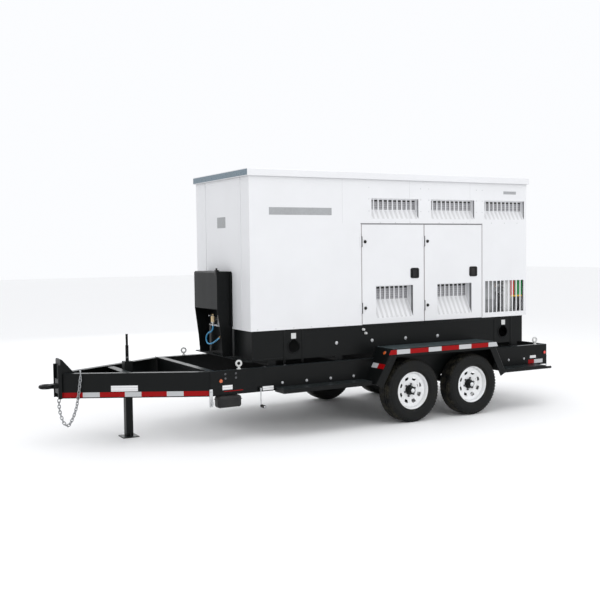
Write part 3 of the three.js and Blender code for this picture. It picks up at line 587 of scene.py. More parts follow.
# %% The chain's route and its links
chain_route = [(-3.008, -0.052, 0.476), (-3.010, -0.056, 0.438), (-3.010, -0.064, 0.388),
               (-3.005, -0.076, 0.337), (-2.995, -0.089, 0.288), (-2.981, -0.103, 0.244),
               (-2.965, -0.117, 0.219), (-2.947, -0.130, 0.209), (-2.924, -0.142, 0.233),
               (-2.899, -0.151, 0.282), (-2.878, -0.158, 0.338), (-2.860, -0.162, 0.399),
               (-2.847, -0.166, 0.465), (-2.838, -0.171, 0.530), (-2.828, -0.177, 0.609),
               (-2.820, -0.181, 0.680), (-2.817, -0.183, 0.714)]
WIRE, LINK_WIDTH = 0.010, 0.036
link_count = 28


def along(path, distances):
    """Points of a path at the given distances from its start."""
    gone = np.concatenate([[0], np.cumsum(np.linalg.norm(np.diff(path, axis=0), axis=1))])
    return np.stack([np.interp(distances, gone, path[:, axis]) for axis in range(3)], axis=-1), gone[-1]


def chain_links(path):
    """Link number i stands at (i + 1/2) pitches; odd ones are turned by 90 degrees about the route."""
    length = along(path, [0])[1]
    pitch = length / link_count
    centres = along(path, (np.arange(link_count) + 0.5) * pitch)[0]
    tangent, first, second = frames_along(centres)
    bend = (LINK_WIDTH - WIRE) / 2
    straight = (pitch + WIRE) / 2 - bend
    angle = np.concatenate([np.linspace(-90, 90, 9), np.linspace(90, 270, 9)]) * np.pi / 180
    side = np.repeat([1, -1], 9)
    lengthways, across = side * straight + bend * np.cos(angle), bend * np.sin(angle)
    links = []
    for step in range(link_count):
        flat = first[step] if step % 2 else second[step]
        loop = centres[step] + tangent[step] * lengthways[:, None] + flat * across[:, None]
        links.append(tube(loop, WIRE / 2, 8, closed=True))
    return joined(links), length


chain_path = smooth_path(chain_route)
links, chain_length = chain_links(chain_path)
chain = piece("chain_links", links, chain_zinc, slot="zinc", replaces=["safety_chain"], sharp=60)
hook_top = np.array(chain_route[-1])
hook_bend = [(0, 0, 0), (0, -0.004, 0.016), (0.0, 0.0, 0.034), (0.002, 0.012, 0.044), (0.004, 0.030, 0.047),
             (0.006, 0.046, 0.043), (0.008, 0.054, 0.031)]
hook_curve = smooth_path(hook_top + np.array(hook_bend) + [0, 0, 0.004], 6)
thick = np.interp(np.linspace(0, 1, len(hook_curve)), [0, 0.3, 0.6, 1], [0.0062, 0.0075, 0.0085, 0.004])
eye_ring = tube(smooth_path([hook_top + (0, 0.012 * np.sin(a), 0.004 + 0.012 * np.cos(a))
                             for a in np.linspace(0, 2 * np.pi, 9)], 3)[:-1], 0.005, 8, closed=True)
hook = piece("chain_hook", tube(hook_curve, thick, 12) + eye_ring, chain_zinc, slot="zinc")
print("chain", round(chain_length, 3), "m in", link_count, "links")

# %% The drain hose
hose_route = [(-1.215, 0.093, 1.146), (-1.215, 0.094, 1.120), (-1.215, 0.101, 1.096), (-1.216, 0.118, 1.076),
              (-1.217, 0.146, 1.061), (-1.218, 0.184, 1.050), (-1.219, 0.222, 1.037), (-1.220, 0.256, 1.016),
              (-1.220, 0.277, 0.988), (-1.220, 0.280, 0.958), (-1.220, 0.264, 0.932), (-1.220, 0.234, 0.918),
              (-1.219, 0.196, 0.915), (-1.218, 0.150, 0.921), (-1.218, 0.100, 0.934), (-1.218, 0.045, 0.952),
              (-1.217, -0.010, 0.974), (-1.216, -0.060, 0.997), (-1.215, -0.105, 1.018)]
HOSE_DIAMETER = 0.018
hose_path = smooth_path(hose_route, 8)
hose = piece("drain_hose_tube", tube(hose_path, HOSE_DIAMETER / 2, 16), hose_rubber, slot="hose_blue",
             replaces=["drain_hose"])
plug_end = np.array(hose_route[-1])
plug_way = plug_end - np.array(hose_route[-2])
plug_way = plug_way / np.linalg.norm(plug_way)
hose_plug = piece("hose_end_fitting",
                  lathe([(0, -0.004), (0.0125, -0.004), (0.0125, 0.004), (0.0105, 0.006), (0.0105, 0.012),
                         (0.0125, 0.013), (0.0125, 0.020), (0, 0.020)], 6).aimed(plug_way)
                  .moved(*(plug_end - plug_way * 0.016)), brass, slot="zinc")

# %% [markdown]
# ## Wheels
# A tyre is a surface of two parameters: the angle round the axle and the place across its section.
# The section fixes the radius; the tread's grooves lower it, its zigzags shift it sideways, and the
# shoulder lugs lower it again at regular angles. Steel rims are pressed discs in rolled barrels.

# %% Tyres with tread
rim_low, rim_high = corners("rim_front_near")
RIM_RADIUS = (rim_high[2] - rim_low[2]) / 2
BEAD = RIM_RADIUS + 0.0005


def tyre_section():
    """(across, radius) from the outboard bead over the tread to the inboard bead, and groove depth."""
    sidewall = [(0.086, BEAD, 0), (0.092, BEAD + 0.007, 0), (0.098, BEAD + 0.016, 0),
                (0.1030, BEAD + 0.026, 0),
                (0.1042, BEAD + 0.027, 0), (0.1050, BEAD + 0.031, 0), (0.1042, BEAD + 0.034, 0),
                (0.1085, 0.272, 0), (0.1096, 0.284, 0), (0.1092, 0.297, 0), (0.1076, 0.309, 0),
                (0.1086, 0.3105, 0), (0.1080, 0.3145, 0), (0.1062, 0.316, 0), (0.1030, 0.328, 0.4),
                (0.0985, 0.340, 0.8), (0.0930, 0.3485, 1.0), (0.0860, 0.3540, 1.0), (0.0780, 0.3562, 1.0)]
    crown = [(0.0700, 0), (0.0690, 0), (0.0640, -1), (0.0585, -1), (0.0575, 0), (0.0430, 0), (0.0310, 0),
             (0.0300, 0), (0.0255, -1), (0.0195, -1), (0.0185, 0), (0.0090, 0)]
    level = 0.3595 - 0.0035 * (np.array([y for y, _ in crown]) / 0.078) ** 2
    half = sidewall + [(y, r if groove == 0 else r - 0.0075, 0.0) for (y, groove), r in zip(crown, level)]
    half = np.array(half)
    mirrored = half[::-1] * [-1, 1, 1]
    liner = np.array([(-0.082, BEAD + 0.002, 0), (-0.094, 0.275, 0), (-0.080, 0.332, 0), (0.080, 0.332, 0),
                      (0.094, 0.275, 0), (0.082, BEAD + 0.002, 0)])
    return np.vstack([half, [[0, 0.3595, 0]], mirrored, liner])


def tyre_surface(columns=360, lugs=60, zigzag=0.0035):
    """Radius = section - lug grooves; across = section + a triangle wave that fades at the shoulder."""
    section = tyre_section()
    angle = np.arange(columns) * 2 * np.pi / columns
    phase = (np.arange(columns) * lugs / columns) % 1.0
    wave = np.abs(phase * 2 - 1) * 2 - 1
    groove = (phase < 0.34).astype(float)
    across = section[:, 0][None] + zigzag * wave[:, None] * (np.abs(section[:, 0]) < 0.066)[None] * (
        section[:, 1] > 0.345)[None]
    lug = section[:, 2][None] * (groove if lugs else 0 * groove)[:, None]
    radius = section[:, 1][None] - 0.0075 * lug
    table = np.stack([radius * np.cos(angle)[:, None], across, radius * np.sin(angle)[:, None]], axis=-1)
    return rings(table, closed_path=True)


# %% Rims, hubs and lug nuts
def rim_disc(sectors=8, columns=12):
    """Height over (radius, angle) is a profile of radius only; faces inside eight windows are left out."""
    radius = np.array([0.056, 0.066, 0.080, 0.096, 0.108, 0.118, 0.127, 0.135, 0.143, 0.152, 0.162, 0.175,
                       0.188,
                       RIM_RADIUS - 0.022])
    height = np.interp(radius, [0.056, 0.066, 0.088, 0.100, 0.116, 0.152, 0.168, 0.194],
                       [-0.010, -0.012, -0.013, -0.020, -0.014, -0.033, -0.037, -0.039])
    count = sectors * columns
    angle = np.arange(count) * 2 * np.pi / count
    table = np.stack([radius[:, None] * np.cos(angle), np.repeat(height[:, None], count, axis=1),
                      radius[:, None] * np.sin(angle)], axis=-1)
    disc = rings(table)
    row, column = np.divmod(np.arange(len(disc.quads)), count)
    window = (row >= 5) & (row < 9) & (column % columns >= 3) & (column % columns < 8)
    return Surface(disc.points, disc.quads[~window], [])


def rim_barrel():
    """A rolled barrel: two lips, bead seats and a drop centre, with a wall of 4 mm."""
    lip = RIM_RADIUS
    outer = [(lip - 0.006, -0.0795), (lip - 0.001, -0.0775), (lip, -0.073), (lip - 0.003, -0.069),
             (lip - 0.011, -0.064), (lip - 0.014, -0.055), (lip - 0.016, -0.034), (lip - 0.026, -0.016),
             (lip - 0.028, 0.020), (lip - 0.018, 0.040), (lip - 0.016, 0.058), (lip - 0.003, 0.068),
             (lip - 0.001, 0.078)]
    inner = [(lip - 0.008, 0.078), (lip - 0.021, 0.056), (lip - 0.024, 0.040), (lip - 0.033, 0.018),
             (lip - 0.031, -0.014), (lip - 0.021, -0.032), (lip - 0.019, -0.053), (lip - 0.015, -0.067),
             (lip - 0.011, -0.075)]
    return lathe(outer + inner, 96, closed=True).turned(-90, "X")


def facing(surface, side):
    """Wheel parts are made outboard towards -Y; the far side's are turned about Z."""
    return surface if side == NEAR else surface.turned(180)


def wheel_place(node):
    low, high = corners(node)
    return (low + high) / 2


hub_profile = [(0.0, -0.076), (0.032, -0.076), (0.040, -0.070), (0.041, -0.040), (0.046, -0.032),
               (0.054, -0.026),
               (0.055, -0.010), (0.060, -0.003), (0.062, 0.006), (0.140, 0.012), (0.144, 0.020),
               (0.144, 0.052),
               (0.138, 0.060), (0.0, 0.060)]
cap_profile = [(0.0, -0.093), (0.012, -0.092), (0.021, -0.088), (0.026, -0.081), (0.028, -0.074),
               (0.0, -0.074)]
nut_profile = [(0.0, 0.0), (0.0125, 0.0), (0.0125, 0.004), (0.0105, 0.006), (0.0105, 0.017), (0.0070, 0.022),
               (0.0035, 0.0235), (0.0, 0.0235)]


def flipped_axis(profile, sides):
    """A shape turned about Y from (radius, y) points."""
    return lathe([(radius, y) for radius, y in profile], sides).turned(-90, "X")


nut = lathe(nut_profile, 6).turned(90, "X")
nut_angle = np.arange(6) * np.pi / 3 + 0.26
nuts = nut.copies(np.stack([0.0699 * np.cos(nut_angle), np.full(6, -0.011), 0.0699 * np.sin(nut_angle)], -1))
for end in ("front", "rear"):
    for side in (NEAR, FAR):
        name = f"{end}_{side_name[side]}"
        body, place = f"wheel_{name}", wheel_place(f"rim_{end}_{side_name[side]}")
        for label, shape, finish, slot, options in (
                ("tyre_tread", tyre_surface(), rubber_black, "tyre_rubber", {"replaces": [f"tyre_{name}"]}),
                ("rim_barrel", rim_barrel(), rim_enamel, "rim_white", {"replaces": [f"rim_{name}"]}),
                ("rim_disc", rim_disc(), rim_enamel, "rim_white", {"wall": 0.005, "levels": 1}),
                ("hub", flipped_axis(hub_profile, 48), black_paint, "frame_black", {}),
                ("hub_cap", flipped_axis(cap_profile, 32), polished, "zinc", {"sharp": 50}),
                ("lug_nuts", nuts, dark_bolt, "zinc", {})):
            piece(f"{label}_{name}", facing(shape, side).moved(*place), finish, body, slot, **options)
print("wheels at", wheel_place("rim_front_near").round(3), wheel_place("rim_rear_near").round(3))

# %% [markdown]
# ## Finishes of the carried-over CAD pieces
# A CAD node whose shape is already right keeps its mesh, and takes one of the finishes above by the
# name of its material slot in the record.

# %% One finish for each slot
slot_finish = {"frame_black": black_paint, "body_white": white_paint, "tyre_rubber": rubber_black,
               "rim_white": rim_enamel, "zinc": zinc, "latch_black": latch_plastic,
               "engine_grey": engine_paint,
               "alternator_grey": alternator_paint, "radiator_black": core_black,
               "silencer_steel": exhaust_metal, "panel_grey": panel_paint, "button_red": red_plastic,
               "hose_blue": hose_rubber}
slot_of = {part["node"]: part["material_slot"] for part in frame["record"]["subparts"]}
for node, cad_object in frame["nodes"].items():
    cad_object.data.materials.clear()
    cad_object.data.materials.append(slot_finish[slot_of[node]])
print(len(slot_of), "CAD nodes have a finish")

# %% [markdown]
# ## Fenders
# A fender is one folded sheet: its section is a flat top, a small bend and a skirt, and that section
# is carried along the ridge line. At the two bends the section is set on the mitre, so that the
# skirt keeps its depth. Its outer face stays a little inside the CAD's, to leave room for the tape.

# %% The folded sheet
fender_low, fender_high = corners("fender_near")
SKIN, SKIRT, TAPE = 0.0045, 0.092, 0.0006
skirt_face = -fender_low[1] - 0.002
ridge = np.array([(fender_low[0] + 0.001, fender_low[2] + 0.001),
                  (fender_low[0] + 0.226, fender_high[2] - 0.0005),
                  (fender_high[0] - 0.194, fender_high[2] - 0.0005),
                  (fender_high[0] - 0.001, fender_low[2] + 0.001)])


def mitred(outline):
    """Unit step into the sheet at each corner, lengthened so that a parallel line keeps its distance."""
    ways = np.diff(outline, axis=0)
    ways /= np.linalg.norm(ways, axis=1)[:, None]
    inward = np.stack([ways[:, 1], -ways[:, 0]], axis=-1)
    before, after = np.vstack([inward[:1], inward]), np.vstack([inward, inward[-1:]])
    bisector = before + after
    return bisector / (1 + (before * after).sum(axis=1))[:, None]


def fender_sheet(side):
    """Section points are (across, depth below the ridge); a corner's place is ridge + mitre * depth."""
    bend = 0.016
    turn = np.linspace(0, np.pi / 2, 6)
    outer = [(skirt_face - bend + bend * np.sin(a), bend - bend * np.cos(a)) for a in turn]
    inner_bend = bend - SKIN
    inner = [(skirt_face - bend + inner_bend * np.sin(a), bend - inner_bend * np.cos(a)) for a in turn[::-1]]
    section = [(0.7175, 0.0)] + outer + [(skirt_face, SKIRT - 0.002), (skirt_face - 0.002, SKIRT),
                                         (skirt_face - 0.014, SKIRT), (skirt_face - 0.014, SKIRT - SKIN),
                                         (skirt_face - SKIN, SKIRT - SKIN)] + inner + [(0.7175, SKIN)]
    section = np.array(section)
    steps = mitred(ridge)
    spots, ways = [], []
    for start in range(3):
        for share in np.linspace(0, 1, 9)[:-1]:
            spots.append(ridge[start] * (1 - share) + ridge[start + 1] * share)
            flat = np.array([ridge[start + 1][1] - ridge[start][1], ridge[start][0] - ridge[start + 1][0]])
            ways.append(steps[start] if share == 0 else flat / np.linalg.norm(flat))
    spots, ways = np.array(spots + [ridge[3]]), np.array(ways + [steps[3]])
    table = np.empty((len(spots), len(section), 3))
    place = spots[:, None] + ways[:, None] * section[None, :, 1:2]
    table[..., 0], table[..., 2] = place[..., 0], place[..., 1]
    across = np.repeat(section[None, :, 0], len(spots), axis=0)
    beside_rail = np.repeat((spots[:, 1] < rail_high[2] + 0.02)[:, None], len(section), axis=1)
    across = np.where(beside_rail, np.maximum(across, rail_y + 0.002), across)
    table[..., 1] = side * across
    return rings(table)


def side_strip(side, x0, x1, z0, z1, face, slant=(0.0, 0.0)):
    """Tape on an upright face: a flat four-sided plate whose ends may slant."""
    outline = np.array([(x0 + slant[0], z0), (x1 + slant[1], z0), (x1, z1), (x0, z1)])
    table = np.empty((2, 4, 3))
    table[..., 0], table[..., 2] = outline[None, :, 0], outline[None, :, 1]
    table[0, :, 1], table[1, :, 1] = side * (face - 0.0002), side * (face + TAPE)
    return rings(table)


tape_edges = np.array([0.425, 0.506, 0.687, 0.948, 1.131, 1.390, 1.571, 1.833, 1.955])
tape_top, tape_height = fender_high[2] - 0.012, 0.052
for side in (NEAR, FAR):
    name = side_name[side]
    piece(f"fender_sheet_{name}", fender_sheet(side), fender_paint_with_top_sheen, slot="frame_black",
          replaces=[f"fender_{name}"], bevel=0.003)
    strips = []
    for step, (x0, x1) in enumerate(zip(tape_edges[:-1], tape_edges[1:])):
        slant = (-0.028 if step == 0 else 0.0, 0.024 if step == len(tape_edges) - 2 else 0.0)
        strips.append(side_strip(side, x0, x1, tape_top - tape_height, tape_top, skirt_face, slant))
    piece(f"fender_tape_red_{name}", joined(strips[0::2]), red_tape)
    piece(f"fender_tape_white_{name}", joined(strips[1::2]), white_tape)
print("fender ridge", ridge.round(3).tolist())

# %% Tape across the front slopes
slope_way = ridge[1] - ridge[0]
slope_normal = np.array([-slope_way[1], 0, slope_way[0]]) / np.linalg.norm(slope_way)


def slope_strip(side, y0, y1, share0, share1):
    """Tape on the front slope, between two heights given as shares of the slope."""
    low, high = ridge[0] + slope_way * share0, ridge[0] + slope_way * share1
    table = np.empty((2, 4, 3))
    table[:] = [(low[0], side * y0, low[1]), (low[0], side * y1, low[1]), (high[0], side * y1, high[1]),
                (high[0], side * y0, high[1])]
    table[0] -= slope_normal * 0.0002
    table[1] += slope_normal * TAPE
    return rings(table)


for side in (NEAR, FAR):
    piece(f"slope_tape_white_{side_name[side]}", slope_strip(side, 0.802, 0.915, 0.43, 0.56), white_tape)
    piece(f"slope_tape_red_{side_name[side]}", slope_strip(side, 0.915, 1.040, 0.43, 0.56), red_tape)

# %% Lamps on the fenders: rubber-ringed oval markers
def oval_lamp(centre, way, long_axis=0.034, short_axis=0.017, depth=0.012):
    """A lens is an oval dome; its bezel is an oval ring turned on the same axis."""
    angle = np.arange(32) * 2 * np.pi / 32
    def oval(scale, height):
        return np.stack([short_axis * scale * np.cos(angle), long_axis * scale * np.sin(angle),
                         np.full(32, height)], axis=-1)
    dome = rings(np.stack([oval(scale, depth * (0.35 + 0.65 * np.sqrt(max(0.0, 1 - scale ** 4))))
                           for scale in (0.05, 0.4, 0.7, 0.9, 1.0)] + [oval(1.0, 0.0)]))
    bezel = rings(np.stack([oval(1.0, 0.0), oval(1.28, 0.0), oval(1.26, depth * 0.45),
                            oval(1.12, depth * 0.6),
                            oval(1.0, depth * 0.45)]), closed_path=True)
    return dome.aimed(way).moved(*centre), bezel.aimed(way).moved(*centre)


for side in (NEAR, FAR):
    spot = ridge[0] + slope_way * 0.86
    dome, bezel = oval_lamp((spot[0], side * 0.935, spot[1]), slope_normal, 0.022, 0.022)
    piece(f"fender_lamp_lens_{side_name[side]}", dome, amber_lens)
    piece(f"fender_lamp_bezel_{side_name[side]}", bezel, grip_rubber)

# %% Fender stays, seen between and behind the tyres
for side in (NEAR, FAR):
    posts = []
    for x in (fender_low[0] + 0.31, (fender_low[0] + fender_high[0]) / 2, fender_high[0] - 0.31):
        posts.append(rounded_box((x - 0.022, side * (rail_y + 0.001), fender_high[2] - 0.045),
                                 (x + 0.022, side * (skirt_face - 0.006), fender_high[2] - 0.0055), 0.003))
    piece(f"fender_stays_{side_name[side]}", joined(posts), black_paint, slot="frame_black")

# %% [markdown]
# ## Frame details
# The trailer frame is stock channel, welded where it meets. The beams carry reflective tape, labels
# and marker lamps; bolts hold the skid; and each weld is a bead of small overlapping ripples.

# %% Points on the slanted tongue beams
beam_low, beam_high = corners("tongue_beam_near")
nose_x, joint_x = beam_low[0], beam_high[0]
nose_half, rail_half = 0.060, rail_y
tongue_slope = (rail_half - nose_half) / (joint_x - nose_x)
tongue_way = np.array([1.0, tongue_slope]) / np.hypot(1, tongue_slope)


def tongue_face(x, side, out=0.0):
    """A point (x, y) on the outer face of a tongue beam, moved out along the face's normal."""
    return np.array([x - tongue_way[1] * out, side * (nose_half + (x - nose_x) * tongue_slope
                                                       + tongue_way[0] * out)])


def face_plate(side, x0, x1, z0, z1, thickness, out=0.0):
    """A flat plate on the outer face of a tongue beam."""
    table = np.empty((2, 4, 3))
    for row, depth in enumerate((out - 0.0002, out + thickness)):
        a, b = tongue_face(x0, side, depth), tongue_face(x1, side, depth)
        table[row] = [(*a, z0), (*b, z0), (*b, z1), (*a, z1)]
    return rings(table)


tape_low, tape_high = rail_low[2] + 0.010, rail_low[2] + 0.060
edges = np.array([-2.982, -2.793, -2.642, -2.417, -2.269, -2.042, -1.892, -1.664])
for side in (NEAR, FAR):
    runs = [face_plate(side, a, b, tape_low, tape_high, TAPE) for a, b in zip(edges[:-1], edges[1:])]
    piece(f"tongue_tape_red_{side_name[side]}", joined(runs[0::2]), red_tape)
    piece(f"tongue_tape_white_{side_name[side]}", joined(runs[1::2]), white_tape)
piece("tongue_label", face_plate(NEAR, -2.540, -2.300, rail_low[2] + 0.066, rail_low[2] + 0.126, 0.0006),
      white_label)
print("tongue slope", round(tongue_slope, 4))

# %% Labels, tape and reflectors on the rails
def rail_plate(side, x0, x1, z0, z1, thickness=TAPE, out=0.0):
    """A flat plate on the outer face of a rail."""
    face = rail_y + out
    return rounded_box((x0, side * (face - 0.0002), z0), (x1, side * (face + thickness), z1), 0.0002, 1)


for side in (NEAR, FAR):
    name = side_name[side]
    piece(f"rail_front_tape_{name}", rail_plate(side, rail_low[0] + 0.006, -1.625, tape_low, tape_high),
          white_tape)
    piece(f"rail_labels_{name}", rail_plate(side, -1.515, -1.400, 0.536, 0.584)
          + rail_plate(side, -1.050, -0.920, 0.492, 0.536) + rail_plate(side, 2.735, 2.835, 0.572, 0.604),
          white_label)
    piece(f"rail_stripe_{name}", rail_plate(side, -1.498, -1.281, 0.517, 0.525), red_tape)
    piece(f"rear_rail_tape_red_{name}", rail_plate(side, 2.705, 2.805, 0.505, 0.553), red_tape)
    piece(f"rear_rail_tape_white_{name}", rail_plate(side, 2.806, 2.950, 0.505, 0.553), white_tape)
    for label, x, finish in (("amber", -1.533, amber_lens), ("red", 2.980, red_lens)):
        dome, bezel = oval_lamp((x, side * rail_y, 0.632), (0, side, 0), 0.020, 0.020, 0.012)
        piece(f"side_marker_{label}_{name}", dome, finish)
        piece(f"side_marker_ring_{label}_{name}", bezel, grip_rubber)

# %% Weld beads
def weld(start, end, size=0.005, ripple=0.007):
    """A tube along a joint whose radius rises and falls once for every ripple."""
    start, end = np.array(start, float), np.array(end, float)
    count = max(4, int(np.linalg.norm(end - start) / ripple) * 3)
    t = np.linspace(0, 1, count)
    swell = size * (0.82 + 0.18 * np.abs(np.sin(np.pi * t * count / 3)))
    swell[[0, -1]] = size * 0.4
    return tube(start + (end - start) * t[:, None], swell, 6)


beads = []
for side in (NEAR, FAR):
    seam_x = joint_x + 0.002
    beads.append(weld((seam_x, side * (rail_y + 0.001), rail_low[2] + 0.004),
                      (seam_x, side * (rail_y + 0.001), rail_high[2] - 0.004)))
    beads.append(weld((seam_x, side * (rail_y - 0.066), rail_high[2] + 0.001),
                      (seam_x, side * rail_y, rail_high[2] + 0.001)))
    nose = tongue_face(nose_x + 0.003, side, 0.001)
    beads.append(weld((*nose, rail_low[2] + 0.01), (*nose, rail_high[2] - 0.01)))
    for x in (-0.885, -0.04, 0.9, 1.8, 2.559):
        beads.append(weld((x - 0.045, side * (skid_high[1] + 0.001), rail_high[2] + 0.003),
                          (x + 0.045, side * (skid_high[1] + 0.001), rail_high[2] + 0.003)))
piece("weld_beads", joined(beads), black_paint, slot="frame_black")

# %% Bolt heads along the rails and the skid
def bolts(places, way, size=0.013, height=0.009):
    """The same hexagon bolt at every place, pointing one way."""
    return hexagon_bolt(size, height).aimed(way).copies(places)


plated, black_heads = [], []
for side in (NEAR, FAR):
    out = (0, side, 0)
    plated.append(bolts([(x, side * rail_y, z) for x, z in ((-0.814, 0.557), (-0.514, 0.557), (-0.209, 0.557),
                                                           (0.091, 0.557), (2.380, 0.573), (2.634, 0.573))],
                                                           out, 0.011))
    plated.append(bolts([(x, side * skid_high[1], 0.930) for x in (-0.07, 0.407, 0.877, 1.346)], out, 0.014))
    black_heads.append(bolts([(x + step, side * (rail_y - 0.035), rail_high[2])
                              for x in (-0.885, 0.9, 1.8) for step in (-0.12, 0.12)], (0, 0, 1), 0.012))
    black_heads.append(bolts([(x, side * rail_y, z) for x in (-1.48, -1.36) for z in (0.70, 0.655)], out,
                             0.009, 0.006))
piece("plated_bolts", joined(plated), zinc, slot="zinc")
piece("black_bolts", joined(black_heads), dark_bolt)

# %% The breakaway box and its cable bracket on the near rail
box = rounded_box((-1.587, -rail_y - 0.060, 0.358), (-1.322, -rail_y + 0.060, 0.479), 0.026, 5)
lid_bead = rounded_box((-1.589, -rail_y - 0.062, 0.438), (-1.320, -rail_y + 0.062, 0.446), 0.004)
piece("breakaway_box", box + lid_bead, latch_plastic, slot="latch_black", sharp=50)
piece("breakaway_box_hanger",
      rounded_box((-1.56, -rail_y + 0.010, 0.470), (-1.35, -rail_y + 0.045, 0.4815), 0.002),
      black_paint, slot="frame_black")
bracket = rounded_box((-1.665, -rail_y - 0.012, 0.372), (-1.628, -rail_y - 0.0005, 0.556), 0.003)
clevis = tube(smooth_path([(-1.647, -rail_y - 0.012, 0.40), (-1.652, -rail_y - 0.040, 0.388),
                           (-1.640, -rail_y - 0.050, 0.42), (-1.646, -rail_y - 0.020, 0.45)], 6), 0.005, 8)
pin = rod((-1.6465, -rail_y - 0.028, 0.53), (-1.6465, -rail_y + 0.004, 0.53), 0.008)
piece("breakaway_bracket", bracket + clevis + pin, zinc, slot="zinc")

# %% Lifting eyes on the rails
def lifting_eye(x, side, stem=0.03):
    """A forged ring on a stem, with a round collar where it meets the flange."""
    base = rail_high[2]
    ring_path = [(0.027 * np.sin(a), 0, 0.027 * np.cos(a) + stem + 0.03) for a in np.linspace(0, 2 * np.pi,
                                                                                              33)[:-1]]
    shape = tube(ring_path, 0.0105, 12, closed=True)
    shape = shape + lathe([(0, 0), (0.022, 0), (0.022, 0.008), (0.012, 0.014), (0.011, stem),
                           (0.014, stem + 0.006),
                           (0, stem + 0.008)], 20)
    return shape.turned(-12).moved(x, side * (rail_y - 0.035), base)


piece("lifting_eyes", joined([lifting_eye(x, side) for x in (-1.309, 2.849) for side in (NEAR, FAR)]),
      pale_plastic)

# %% Brake conduit under the rails and wiring clips
for side in (NEAR, FAR):
    inner = side * (rail_y - 0.055)
    run = smooth_path([(-2.90, side * 0.02, 0.495), (-2.3, side * 0.28, 0.497), (-1.65, inner, 0.497),
                       (-0.8, inner, 0.4965), (0.1, inner, 0.497), (0.55, inner, 0.470),
                       (0.757, side * 0.72, 0.435)], 8)
    piece(f"brake_line_{side_name[side]}", tube(run, 0.0065, 8), cable_jacket)

# %% [markdown]
# ## Skid details
# The skid is a tank between two bays. Flat bars cover its seams, a rolled ring stiffens each
# lifting hole, and pale squares mark where the slings go.

# %% Seam bars, hole rings and marker squares
skid_y = skid_high[1]
hole_x, hole_z = (-0.615, 2.369), 0.926


def ring_on_side(x, side, z, inner, outer, proud):
    """A flat ring with a rounded face, turned about Y."""
    profile = [(inner, -0.004), (outer, -0.004), (outer, proud * 0.5), (outer - 0.004, proud),
               (inner + 0.004, proud), (inner, proud * 0.5)]
    return lathe(profile, 40, closed=True).turned(90 if side == NEAR else -90, "X").moved(x, side * skid_y, z)


for side in (NEAR, FAR):
    name = side_name[side]
    bars = [rounded_box((x - 0.011, side * (skid_y - 0.002), skid_low[2] + 0.004),
                        (x + 0.011, side * (skid_y + 0.0042), 1.108), 0.0015)
            for x in (-0.733, -0.505, 2.235, 2.500)]
    bars.append(rounded_box((-0.50, side * (skid_y - 0.002), 1.086),
                            (2.235, side * (skid_y + 0.0042), 1.108), 0.0015))
    bars.append(rounded_box((-1.118, side * (skid_y - 0.002), 0.790),
                            (-0.75, side * (skid_y + 0.003), 0.812), 0.0015))
    piece(f"skid_bars_{name}", joined(bars), black_paint, slot="frame_black")
    piece(f"lifting_hole_rings_{name}",
          joined([ring_on_side(x, side, hole_z, 0.0695, 0.084, 0.006) for x in hole_x]),
          black_paint, slot="frame_black")
    piece(f"sling_squares_{name}", joined([rounded_box((x - 0.030, side * (skid_y - 0.0002), 1.010),
                                                       (x + 0.030, side * (skid_y + 0.0008), 1.070), 0.0003,
                                                       1)
                                           for x in (-0.617, 2.377)]), pale_plastic)
    fitting = lathe([(0, 0), (0.016, 0), (0.016, 0.006), (0.011, 0.008), (0.011, 0.018), (0.014, 0.020),
                     (0.014, 0.026), (0, 0.028)], 6).aimed((0, side, 0))
    piece(f"skid_fittings_{name}",
          fitting.copies([(0.315, side * skid_y, 1.019), (0.285, side * skid_y, 1.062)]),
          pale_plastic)

# %% [markdown]
# ## Enclosure details
# The air inlets are recessed cassettes: an upright grille at the back, and a sheet that slopes out
# to the wall below it. Wires cross the slots, flat ribs run down the slope, and behind lies a grey mesh.
# Every position comes from the same few numbers as the CAD cassette.

# %% Louvre cassettes
UPPER_VENTS = [(0.410, 1.070), (1.255, 1.911), (2.069, 2.717)]
VENT_LOW, VENT_TOP = 2.312, 2.545
# Painted shade: a mid grey for the recess side walls and the line over the doors, which stand in shadow.
shade_grey_paint = plain_plastic("seam shadow", (0.17, 0.17, 0.18), 0.6, 0.1, 300.0)
gasket_grey = plain_plastic("door gasket", (0.34, 0.31, 0.31), 0.6, 0.1, 300.0)
# Painted shade: a darker copy of the white powder coat, for the shade on the slope ribs and in the wall
# seams.
rib_painted_shade = powder_coat("louvre rib painted shade", (0.62, 0.62, 0.63), (0.5, 0.49, 0.46), 0.5, 0.2, 0.00008)
mesh_grey = plain_plastic("inlet mesh", (0.34, 0.34, 0.36), 0.7, 0.3, 900.0)
mesh_wire = plain_plastic("inlet mesh wires", (0.46, 0.46, 0.48), 0.6, 0.2, 900.0)


